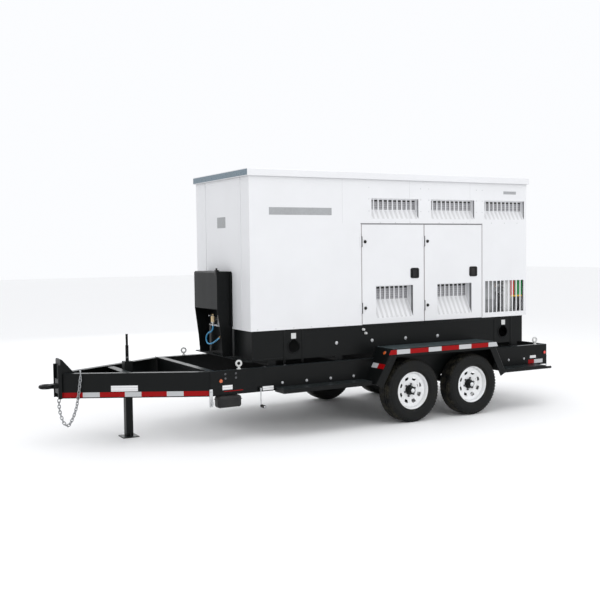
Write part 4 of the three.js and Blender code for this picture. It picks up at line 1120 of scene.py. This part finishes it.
def cassette_parts(side, x0, x1, z0, z1, columns, depth, sill_share):
    """Mesh wires and a mesh sheet behind the slots, a dark strip of painted shadow under the slot tops, flat
    ribs on the slope in painted shade grey, and end strips of painted shade for the shaded side walls.
    """
    back = wall_y - depth
    sill = z0 + (z1 - z0) * sill_share
    pitch = (x1 - x0) / columns
    rows = np.arange(sill + 0.022, z1 - 0.030, 0.026)
    wires = [rounded_box((x0 + 0.004, side * (back - 0.0045), z - 0.004),
                         (x1 - 0.004, side * (back - 0.0085), z + 0.004), 0.0015, 1) for z in rows]
    sheet = rounded_box((x0 + 0.002, side * (back - 0.012), sill), (x1 - 0.002, side * (back - 0.018), z1),
                        0.002, 1)
    # Painted shadow: a dark strip across the top of the slots, where the overhang casts shade.
    slot_top_shadow = rounded_box((x0 + 0.002, side * (back - 0.0044), z1 - 0.034),
                       (x1 - 0.002, side * (back - 0.011), z1 + 0.001),
                       0.001, 1)
    rib_outline = [(side * (wall_y - 0.001), z0 + 0.001), (side * (wall_y - 0.001), z0 + 0.004),
                   (side * (back + 0.002), sill + 0.005), (side * (back + 0.0005), sill + 0.002)]
    ribs = [swept(rib_outline, 0, x0 + pitch * (column + 0.28), x0 + pitch * (column + 0.72))
            for column in range(columns)]
    # Painted shade: the end strips are grey plates that stand for the shaded side walls of the recess.
    strip_depth = depth * 0.36
    strip_outline = [(side * (wall_y - 0.003), z0 + 0.010),
                     (side * (wall_y - strip_depth), z0 + (sill - z0) * 0.36 + 0.008),
                     (side * (wall_y - strip_depth), z1 - 0.003), (side * (wall_y - 0.003), z1 - 0.003)]
    ends = [swept(strip_outline, 0, *sorted((x, x + inward * 0.0012))) for x, inward in ((x0, 1), (x1, -1))]
    return {"wires": (joined(wires), mesh_wire), "mesh": (sheet, mesh_grey), "slot_top_shadow": (slot_top_shadow, slot_shadow_black),
            "ribs": (joined(ribs), rib_painted_shade), "end_shade_strips": (joined(ends), shade_grey_paint)}


def make_cassette(name, body, *numbers):
    for part, (surface, finish) in cassette_parts(*numbers).items():
        piece(f"{name}_{part}", surface, finish, body)


for side in (NEAR, FAR):
    for number, (x0, x1) in enumerate(UPPER_VENTS, 1):
        make_cassette(f"upper_vent_{number}_{side_name[side]}", "trailer", side, x0, x1, VENT_LOW, VENT_TOP,
                      10,
                      0.058, 0.42)
DOORS = (("front", NEAR), ("rear", NEAR), ("far", FAR))
for door, side in DOORS:
    hinge_x = corners(f"door_{door}")[0][0]
    x0, x1 = hinge_x + 0.188, hinge_x + 0.710
    make_cassette(f"door_vent_{door}", f"door_{door}", side, x0, x1, 1.176, 1.548, 8, 0.106, 0.54)
    line = [(x, side * (wall_y - 0.004), 1.192) for x in np.linspace(x0 + 0.035, x1 - 0.035, 9)]
    rivet = dome_screw(0.0042, 0.002).aimed((0, side, 0.52))
    piece(f"door_vent_{door}_rivets", rivet.copies(line), zinc, f"door_{door}", slot="zinc")
print("cassettes:", 2 * len(UPPER_VENTS) + len(DOORS))

# %% Hinges: a knuckle on its pin, two leaves and a round bumper
def hinge_parts(x, side, z, length=0.120):
    """The knuckle is turned about the pin in three lengths; the leaves are thin plates at its sides."""
    face = side * (wall_y + 0.006)
    steps = []
    for low, high in ((0, 0.33), (0.34, 0.66), (0.67, 1.0)):
        steps += [(0, low), (0.0058, low), (0.0058, high), (0, high)]
    knuckle = lathe([(radius, z + (share - 0.5) * length) for radius, share in steps], 14).moved(x, face, 0)
    fixed = rounded_box((x - 0.030, side * (wall_y - 0.0005), z - length * 0.45),
                        (x - 0.004, side * (wall_y + 0.0025), z + length * 0.45), 0.001, 1)
    moving = rounded_box((x + 0.004, side * (wall_y - 0.0005), z - length * 0.45),
                         (x + 0.026, side * (wall_y + 0.0025), z + length * 0.45), 0.001, 1)
    bumper = lathe([(0, 0), (0.018, 0), (0.0185, 0.006), (0.015, 0.013), (0.008, 0.016), (0, 0.0165)], 24)
    bumper = bumper.aimed((0, side, 0)).moved(x + 0.044, side * wall_y, z)
    return knuckle, fixed, moving, bumper


for door, side in DOORS:
    hinge_x = corners(f"door_{door}")[0][0] - 0.002
    for level, z in (("upper", 2.055), ("lower", 1.302)):
        knuckle, fixed, moving, bumper = hinge_parts(hinge_x, side, z)
        piece(f"hinge_pin_{door}_{level}", knuckle, dark_bolt)
        piece(f"hinge_fixed_leaf_{door}_{level}", fixed, white_paint, slot="body_white")
        piece(f"hinge_door_leaf_{door}_{level}", moving, white_paint, f"door_{door}", slot="body_white")
        piece(f"hinge_bumper_{door}_{level}", bumper, grip_rubber, f"door_{door}")

# %% Latch trays
def square_ring(half, corner, profile, steps=6):
    """A profile of (inset, height) points carried round a rounded square that lies in XY."""
    angle = (np.linspace(0, np.pi / 2, steps)[None] + np.arange(4)[:, None] * np.pi / 2).ravel()
    signs = np.array([[1, 1], [-1, 1], [-1, -1], [1, -1]]).repeat(steps, axis=0)
    table = np.empty((len(profile), len(angle), 3))
    for row, (inset, height) in enumerate(profile):
        radius = max(corner - inset, 0.001)
        straight = half - inset - radius
        table[row, :, 0] = signs[:, 0] * straight + radius * np.cos(angle)
        table[row, :, 1] = signs[:, 1] * straight + radius * np.sin(angle)
        table[row, :, 2] = height
    return table


def latch_tray(x, side, z):
    """A black dish: a raised rim round a sunken floor, closed underneath."""
    profile = [(0.002, -0.001), (0.0, 0.001), (0.001, 0.0075), (0.004, 0.0092), (0.009, 0.0088),
               (0.0125, 0.0045),
               (0.014, 0.0034), (0.058, 0.0033)]
    dish = rings(square_ring(0.0605, 0.020, profile))
    key = lathe([(0, 0), (0.011, 0), (0.011, 0.0035), (0.009, 0.005), (0, 0.005)], 20).moved(-0.036, 0.036,
                                                                                             0.003)
    return (dish + key).aimed((0, side, 0)).moved(x, side * (wall_y - 0.0002), z)


for door, side in DOORS:
    low, high = corners(f"door_{door}")
    piece(f"latch_tray_{door}", latch_tray(low[0] + 0.734, side, 1.685), latch_plastic, f"door_{door}",
          slot="latch_black", sharp=40)

# %% Screws, seams, gaskets and door heads, and a painted reflection on the front roof lip
screw = dome_screw(0.0062, 0.003)
for side in (NEAR, FAR):
    places = []
    for x0, x1 in UPPER_VENTS:
        places += [(x, side * wall_y, z) for x in (x0 - 0.034, x1 + 0.034) for z in (2.402, 2.538, 2.668)
                   if x < wall_high[0] - 0.02]
        places += [(x0 + share * (x1 - x0), side * wall_y, 2.272) for share in (0.18, 0.5, 0.82)]
    places += [(x, side * wall_y, 1.128) for x in np.arange(wall_low[0] + 0.08, 0.24, 0.22)]
    piece(f"wall_screws_{side_name[side]}", screw.aimed((0, side, 0)).copies(places), zinc, slot="zinc")
    # The seam strips use the painted shade grey for the shade in each lap.
    seams = [rounded_box((x - 0.0016, side * (wall_y - 0.0003), 2.262),
                         (x + 0.0016, side * (wall_y + 0.0007), 2.752),
                         0.0002, 1) for x in (0.020, 0.943, 1.844)]
    piece(f"wall_seams_{side_name[side]}", joined(seams), rib_painted_shade)
    # The door head strip is coloured in the painted shade grey of the shadow line over the doors.
    last = 2.035 if side == NEAR else 1.155
    piece(f"door_head_{side_name[side]}", rounded_box((0.260, side * (wall_y - 0.0003), 2.2535),
                                                      (last, side * (wall_y + 0.003), 2.2625), 0.0008, 1),
                                                      shade_grey_paint)
    posts = [rounded_box((x - 0.010, side * (wall_y - 0.0003), 1.120),
                         (x - 0.0035, side * (wall_y + 0.0015), 2.2535),
                         0.0005, 1) for x in ((0.276, 1.156, 2.040) if side == NEAR else (0.276, 1.160))]
    piece(f"door_gaskets_{side_name[side]}", joined(posts), gasket_grey)
folds = [rounded_box((wall_low[0] - 0.004, y - 0.012, 1.116), (wall_low[0] + 0.001, y + 0.012, 2.756), 0.003)
         for y in (0.439, -0.490)]
piece("front_wall_battens", joined(folds), white_paint, slot="body_white")
# Painted reflection and shade: a blue-grey plate on the front roof lip stands for the sky's reflection and
# shade there.
roof_lip_painted_reflection = plain_plastic("roof lip painted reflection", (0.13, 0.19, 0.235), 0.3, 0.1, 300.0)
piece("roof_front_painted_reflection",
      rounded_box((roof_low[0] - 0.0012, -0.722, 2.764), (roof_low[0] + 0.0005, 0.722, 2.8265),
                                     0.0005, 1), roof_lip_painted_reflection)

# %% Blank plates, where a maker would put its marks
def wall_patch(outline, side, proud=0.0007):
    """A flat sticker on a side wall, from its (x, z) outline."""
    outline = np.array(outline, float)
    table = np.empty((2, len(outline), 3))
    table[..., 0], table[..., 2] = outline[None, :, 0], outline[None, :, 1]
    table[0, :, 1], table[1, :, 1] = side * (wall_y - 0.0002), side * (wall_y + proud)
    return rings(table)


mark_left, mark_right = -0.900, -0.120
for side in (NEAR, FAR):
    name = side_name[side]
    blank = [(mark_left, 2.350), (mark_right, 2.350), (mark_right, 2.430), (mark_left, 2.430)]
    piece(f"blank_plate_{name}", wall_patch(blank, side), panel_paint)
    plate = [(2.375, 2.628), (2.580, 2.628), (2.580, 2.664), (2.375, 2.664)]
    piece(f"rating_plate_{name}", wall_patch(plate, side), panel_paint)
piece("front_blank_plate",
      rounded_box((wall_low[0] - 0.001, -0.11, 2.225), (wall_low[0] + 0.0002, 0.11, 2.345), 0.0004, 1),
      panel_paint)

# %% Behind the barred window: a pale cover, a red and a green curtain, and cable tails
WINDOW_LOW, WINDOW_HIGH, BARS = (2.073, 1.172), (2.717, 1.560), 10
pitch = (WINDOW_HIGH[0] - WINDOW_LOW[0]) / BARS


def behind_bars(first, last, z0, z1, depth=0.030):
    """A panel behind some of the window's slots."""
    return rounded_box((WINDOW_LOW[0] + pitch * first, -wall_y + depth, z0),
                       (WINDOW_LOW[0] + pitch * last - 0.004, -wall_y + depth + 0.004, z1), 0.001, 1)


piece("window_cover", behind_bars(5, 7, 1.165, 1.566), pale_plastic)
piece("window_red_flap", behind_bars(7, 8, 1.372, 1.566), red_plastic)
piece("window_green_flap", behind_bars(8, 10, 1.372, 1.566), green_plastic)
piece("window_yellow_strip", behind_bars(7, 10, 1.352, 1.371), yellow_plastic)
tails = []
for number in range(5):
    x = 2.350 + 0.084 * number
    tails.append(tube(smooth_path([(x, -0.640, 1.400), (x + 0.003, -0.655, 1.375), (x + 0.006, -0.650, 1.300),
                                   (x + 0.004, -0.630, 1.200), (x, -0.610, 1.165)], 5), 0.011, 10))
piece("cable_tails", joined(tails), cable_jacket)
collars = lathe([(0, 0), (0.024, 0), (0.024, 0.010), (0.014, 0.014), (0.014, 0.026), (0, 0.026)],
                16).aimed((0, -1, 0))
piece("lug_collars", collars.copies([(2.350 + 0.084 * i, -0.590, 1.500) for i in range(5)]), copper)

# %% [markdown]
# ## Service guard, valve and hose clip
# The guard is a folded cover on the front wall. It needs the edge returns and the latch clip that
# stop it reading as a plain box, and the valve needs its brass body and its plate.

# %% Guard edges, clip and valve
guard_low, guard_high = corners("service_guard")
valve_x, valve_y, valve_z = -1.215, 0.093, 1.210
clip_y = guard_low[1] + 0.031
piece("guard_clip", rounded_box((guard_low[0] - 0.004, clip_y - 0.022, guard_high[2] - 0.055),
                                (guard_low[0] + 0.028, clip_y + 0.022, guard_high[2] + 0.002), 0.006, 4)
      + rod((guard_low[0] + 0.012, clip_y, guard_high[2] - 0.01),
            (guard_low[0] + 0.012, clip_y, guard_high[2] + 0.024), 0.011),
      latch_plastic, slot="latch_black")
piece("guard_clip_cap", dome_screw(0.015, 0.009).moved(guard_low[0] + 0.012, clip_y, guard_high[2] + 0.023),
      zinc, slot="zinc")
lips = [rounded_box((-1.3135, guard_low[1] + 0.001, 1.330), (-1.290, guard_high[1] - 0.001, 1.336), 0.002),
        rounded_box((-1.160, guard_low[1] - 0.020, 1.14),
                    (-1.1365, guard_low[1] + 0.001, guard_high[2] - 0.03), 0.002)]
piece("guard_returns", joined(lips), black_paint, slot="frame_black")
body = lathe([(0, -0.050), (0.020, -0.050), (0.020, -0.040), (0.0255, -0.036), (0.0255, 0.030),
              (0.020, 0.036),
              (0.014, 0.038), (0.014, 0.050), (0, 0.050)], 8)
piece("valve_body", body.moved(valve_x, valve_y, valve_z), brass, slot="zinc")
piece("valve_plate", rounded_box((-1.185, -0.075, 1.125), (-1.180, 0.045, 1.250), 0.003)
      + rounded_box((-1.185, -0.075, 1.125), (-1.1445, -0.070, 1.250), 0.002), zinc, slot="zinc")
ferrule = lathe([(0.0092, 0), (0.0125, 0), (0.0130, 0.003), (0.0130, 0.016), (0.0120, 0.019),
                 (0.0092, 0.019)], 24,
                closed=True)
piece("hose_ferrule", ferrule.moved(valve_x, valve_y, valve_z - 0.083), zinc, slot="zinc")

# %% [markdown]
# ## Cranks, lamps and treads
# The stabilizer cranks end in rubber grips, which turn with the crank. The steps carry raised
# lozenges, so a boot holds on them, and the rear cross-member carries the lamps.

# %% Crank grips and collars
def sleeve(start, end, radius):
    """A ribbed rubber grip: a turned profile whose radius swells and narrows four times."""
    start, end = np.array(start, float), np.array(end, float)
    length = np.linalg.norm(end - start)
    share = np.linspace(0, 1, 25)
    swell = radius - 0.0012 * (0.5 + 0.5 * np.cos(share * 8 * np.pi))
    profile = [(0, 0), *zip(swell, share * length), (0, length)]
    return lathe(profile, 20).aimed(end - start).moved(*start)


for side in (NEAR, FAR):
    body, y = f"rear_jack_{side_name[side]}_crank", side * 0.690
    piece(f"rear_grip_{side_name[side]}", sleeve((3.122, y, 0.415), (3.1985, y, 0.415), 0.0165),
          grip_rubber, body)
    piece(f"rear_crank_collar_{side_name[side]}", rod((2.986, y, 0.565), (3.098, y, 0.565), 0.0135),
          black_paint, body)
piece("front_grip", sleeve((-1.090, -0.840, 0.340), (-1.090, -0.9145, 0.340), 0.0165), grip_rubber,
      "front_jack_crank")
piece("front_crank_collar", rod((-1.090, -0.735, 0.520), (-1.090, -0.820, 0.520), 0.0135), black_paint,
      "front_jack_crank")

# %% Tread lozenges on the steps
lozenge = lathe([(0, -0.0005), (0.010, -0.0005), (0.0035, 0.0018), (0, 0.0018)], 4)
lozenge = Surface(lozenge.points * [1.0, 0.45, 1.0], lozenge.quads, lozenge.caps)


def treads(low, high, clear=0.018, pitch=0.034):
    """Lozenges that lie along X and across in turn over the top face of a box."""
    xs = np.arange(low[0] + clear, high[0] - clear, pitch)
    ys = np.arange(low[1] + clear, high[1] - clear, pitch)
    grid = [(x, y, (i + j) % 2) for i, x in enumerate(xs) for j, y in enumerate(ys)]
    along_x = lozenge.copies([(x, y, high[2]) for x, y, turn in grid if not turn])
    across = lozenge.turned(90).copies([(x, y, high[2]) for x, y, turn in grid if turn])
    return along_x + across


for side in (NEAR, FAR):
    low, high = corners(f"side_step_{side_name[side]}")
    piece(f"side_step_treads_{side_name[side]}", treads(low, high), black_paint, slot="frame_black", sharp=20)
print("step treads:", len(lozenge.points), "points a lozenge")

# %% Rear lamps on the cross-member
rear_low, rear_high = corners("rear_crossmember")
lamp_x, lamp_z = rear_high[0], (rear_low[2] + rear_high[2]) / 2


def round_lamp(y, z, radius):
    """A domed lens in a rubber grommet, facing rearward."""
    dome = lathe([(0, 0.004), (radius, 0.004), (radius, 0.008), (radius * 0.8, 0.013), (radius * 0.4, 0.0155),
                  (0, 0.016)], 28).aimed((1, 0, 0)).moved(lamp_x, y, z)
    grommet = lathe([(radius, 0), (radius + 0.008, 0), (radius + 0.008, 0.006), (radius + 0.004, 0.009),
                     (radius, 0.008)], 28, closed=True).aimed((1, 0, 0)).moved(lamp_x, y, z)
    return dome, grommet


for side in (NEAR, FAR):
    parts = [round_lamp(side * y, lamp_z, 0.050) for y in (0.46, 0.33)]
    piece(f"rear_lamp_lens_{side_name[side]}", joined([dome for dome, _ in parts]), red_lens)
    piece(f"rear_lamp_grommets_{side_name[side]}", joined([ring for _, ring in parts]), grip_rubber)
centre_lamps = [round_lamp(y, lamp_z, 0.017) for y in (-0.12, 0, 0.12)]
piece("centre_lamp_lens", joined([dome for dome, _ in centre_lamps]), red_lens)
piece("centre_lamp_grommets", joined([ring for _, ring in centre_lamps]), grip_rubber)
piece("plate_holder",
      rounded_box((lamp_x, 0.60, lamp_z - 0.07), (lamp_x + 0.004, 0.76, lamp_z + 0.03), 0.0015), pale_plastic)

# %% Rear wall: control door, its window and gauges, and the stop button's collar
wall_x = wall_high[0]
frame_bars = [rounded_box((wall_x - 0.001, y0, z0), (wall_x + 0.004, y1, z1), 0.0015)
              for y0, z0, y1, z1 in ((-0.136, 2.064, 0.156, 2.080), (-0.136, 2.240, 0.156, 2.256),
                                     (-0.136, 2.0795, -0.120, 2.2405), (0.140, 2.0795, 0.156, 2.2405))]
piece("control_window_frame", joined(frame_bars), grip_rubber, "control_door")
piece("control_window_pane",
      rounded_box((wall_x - 0.003, -0.122, 2.078), (wall_x + 0.0005, 0.142, 2.242), 0.001, 1),
      clear_glass, "control_door")
hinge_z = (1.90, 2.22)
knuckles = joined([rod((wall_x + 0.005, 0.364, z - 0.035), (wall_x + 0.005, 0.364, z + 0.035), 0.0055, 12)
                   for z in hinge_z])
piece("control_hinge_pins", knuckles, dark_bolt)
collar = lathe([(0.0285, 0), (0.040, 0), (0.040, 0.004), (0.037, 0.007), (0.0285, 0.007)], 32, closed=True)
piece("stop_collar", collar.aimed((1, 0, 0)).moved(wall_x, -0.520, 2.060), yellow_plastic)
rear_screws = [(wall_x, y, z) for y in (-0.665, 0.665) for z in np.arange(1.20, 2.72, 0.25)]
piece("rear_wall_screws", screw.aimed((1, 0, 0)).copies(rear_screws), zinc, slot="zinc")

# %% [markdown]
# ## Behind the doors
# With the doors open the engine bay shows. The CAD gives the block and the alternator; hoses, pipes,
# filters and covers make it read as a working engine. All are tubes on smooth paths or turned parts.

# %% Engine dressing
engine_low, engine_high = corners("engine")
engine_mid = (engine_low + engine_high) / 2
length = engine_high[0] - engine_low[0]
height = engine_high[2] - engine_low[2]
near_face = engine_low[1]
head_z = engine_low[2] + height * 0.72
filter_body = lathe([(0, 0), (0.040, 0), (0.046, 0.006), (0.046, 0.012), (0.043, 0.016), (0.043, 0.120),
                     (0.036, 0.134), (0.014, 0.140), (0, 0.140)], 28).turned(180, "X")
piece("oil_filters", filter_body.copies([(engine_mid[0] + x, near_face - 0.030, engine_low[2] + height * 0.48)
                                         for x in (-0.10, 0.02)]), filter_orange)
spacing = length * 0.78 / 6
injector_x = engine_low[0] + length * 0.16 + spacing * np.arange(6)
pump = np.array([engine_mid[0] + 0.05, near_face - 0.045, engine_low[2] + height * 0.55])
lines = []
for number, x in enumerate(injector_x):
    start = pump + [0.022 * (number - 2.5), 0, 0.05]
    rise = np.array([x, near_face - 0.035, head_z - 0.01])
    lines.append(tube(smooth_path([start, start + [0, -0.012, 0.035], (start + rise) / 2 + [0, -0.018, 0.01],
                                   rise, rise + [0, 0.055, 0.045]], 6), 0.0035, 8))
piece("injector_lines", joined(lines), zinc, slot="zinc")
piece("injection_pump", rounded_box(pump - [0.085, 0.02, 0.055], pump + [0.085, 0.05, 0.052], 0.012, 4),
      panel_paint)
manifold_path = [(engine_low[0] + length * 0.12, near_face + 0.02, head_z + 0.055)] + [
    (x, near_face - 0.012, head_z + 0.060) for x in injector_x] + [
    (engine_high[0] - length * 0.06, near_face + 0.03, head_z + 0.055)]
piece("intake_rail", tube(smooth_path(manifold_path, 5), 0.026, 16), engine_paint, slot="engine_grey")
hose_top = [(0.050, -0.20, 2.02), (0.10, -0.22, 2.03), (0.18, -0.26, 2.00), (0.24, -0.24, 1.93),
            (engine_low[0] + 0.06, near_face + 0.08, head_z + 0.06)]
piece("coolant_hose", tube(smooth_path(hose_top, 8), 0.027, 16), grip_rubber)
dipstick = [(engine_high[0] - 0.16, near_face - 0.012, engine_low[2] + height * 0.25),
            (engine_high[0] - 0.16, near_face - 0.030, engine_low[2] + height * 0.5),
            (engine_high[0] - 0.15, near_face - 0.034, engine_low[2] + height * 0.68)]
piece("dipstick", tube(smooth_path(dipstick, 5), 0.005, 8), zinc, slot="zinc")
loop = [(dipstick[-1][0] + 0.014 * np.sin(a), dipstick[-1][1], dipstick[-1][2] + 0.016 - 0.014 * np.cos(a))
        for a in np.linspace(0, 2 * np.pi, 17)[:-1]]
piece("dipstick_loop", tube(loop, 0.0035, 8, closed=True), yellow_plastic)
cover = rounded_box((engine_low[0] + length * 0.1, engine_mid[1] - 0.10, engine_high[2] - 0.002),
                    (engine_high[0] - length * 0.1, engine_mid[1] + 0.10, engine_high[2] + 0.030), 0.014, 4)
piece("rocker_cover", cover, engine_paint, slot="engine_grey")
piece("oil_filler_cap", lathe([(0, 0), (0.030, 0), (0.030, 0.016), (0.026, 0.021), (0, 0.021)], 10)
      .moved(engine_mid[0] + 0.12, engine_mid[1], engine_high[2] + 0.029), latch_plastic, slot="latch_black")

# %% Alternator dressing
alt_low, alt_high = corners("alternator")
drum = (alt_low + alt_high) / 2
drum[2] = alt_low[2] + (alt_high[2] - alt_low[2]) * 0.45
box_face = alt_low[1] - 0.001
data_plate = rounded_box((drum[0] - 0.07, box_face - 0.002, drum[2] + 0.02),
                         (drum[0] + 0.05, box_face + 0.004, drum[2] + 0.09),
                         0.001, 1)
piece("alternator_plate", data_plate, zinc, slot="zinc")
cables = []
for number in range(3):
    y = -0.10 - 0.05 * number
    cables.append(tube(smooth_path([(alt_high[0] - 0.12, y, alt_high[2] - 0.03),
                                    (alt_high[0] + 0.02, y - 0.02, alt_high[2] + 0.03),
                                    (alt_high[0] + 0.12, y - 0.06, alt_high[2] - 0.10),
                                    (alt_high[0] + 0.14, -0.42 - 0.03 * number, 1.55)], 8), 0.013, 12))
piece("output_cables", joined(cables), cable_jacket)
print("engine bay dressed:", [round(float(value), 3) for value in (*engine_low, *engine_high)],
      [round(float(value), 3) for value in (*alt_low, *alt_high)])

# %% [markdown]
# ## Floor and light
# A plain pale floor takes the shadows, and three large soft lights stand where a studio has them:
# a wide one overhead, a key at the near side and a weaker one at the far side. The front end of the
# studio is darker, so the front wall reads as a shaded side.

# %% Floor, world and lights
class Studio(Finish):
    """The world's nodes, made by the same method as a material's."""

    def __init__(self, tree):
        self.nodes, self.links = tree.nodes, tree.links


def softbox(name, place, target, size, power):
    """An area light that faces its target."""
    lamp = bpy.data.objects.new(name, bpy.data.lights.new(name, "AREA"))
    lamp.data.shape, lamp.data.size, lamp.data.energy = "DISK", size, power
    way = np.array(target, float) - np.array(place, float)
    lamp.matrix_world = Matrix.Translation(place) @ Vector(-way).to_track_quat("Z", "Y").to_matrix().to_4x4()
    bpy.context.scene.collection.objects.link(lamp)
    return lamp


softbox("overhead", (0.5, -1.0, 8.5), (0, 0, 0), 9.0, 190)
softbox("near key", (3.0, -11.0, 5.5), (0.3, 0, 1.2), 6.0, 150)
softbox("far fill", (2.0, 10.0, 5.0), (0, 0, 1.2), 6.0, 110)
floor_mesh = bpy.data.meshes.new("floor")
reach = 60.0
floor_mesh.from_pydata([(-reach, -reach, 0), (reach, -reach, 0), (reach, reach, 0), (-reach, reach, 0)], [],
                       [(0, 1, 2, 3)])
floor = bpy.data.objects.new("floor", floor_mesh)
bpy.context.scene.collection.objects.link(floor)
paper = Finish("floor paper", (0.93, 0.93, 0.93), 0.85)
paper.set("Roughness", paper.noise(3.0) * 0.1 + 0.8)
floor_mesh.materials.append(paper.material)
world = bpy.data.worlds.new("studio")
world.use_nodes = True
studio = Studio(world.node_tree)
way_x = studio.node("ShaderNodeSeparateXYZ", {},
                    {0: studio.node("ShaderNodeTexCoord", {}, {}, "Generated")}, "X")
glow = studio.node("ShaderNodeMapRange", {"interpolation_type": "SMOOTHSTEP"},
                   {"Value": way_x, "From Min": -0.35, "From Max": 0.17, "To Min": 0.28, "To Max": 1.02},
                   "Result")
studio.join(glow, world.node_tree.nodes["Background"].inputs["Strength"])
world.node_tree.nodes["Background"].inputs["Color"].default_value = (0.97, 0.98, 1.0, 1.0)
bpy.context.scene.world = world
bpy.context.scene.view_settings.view_transform = "Standard"
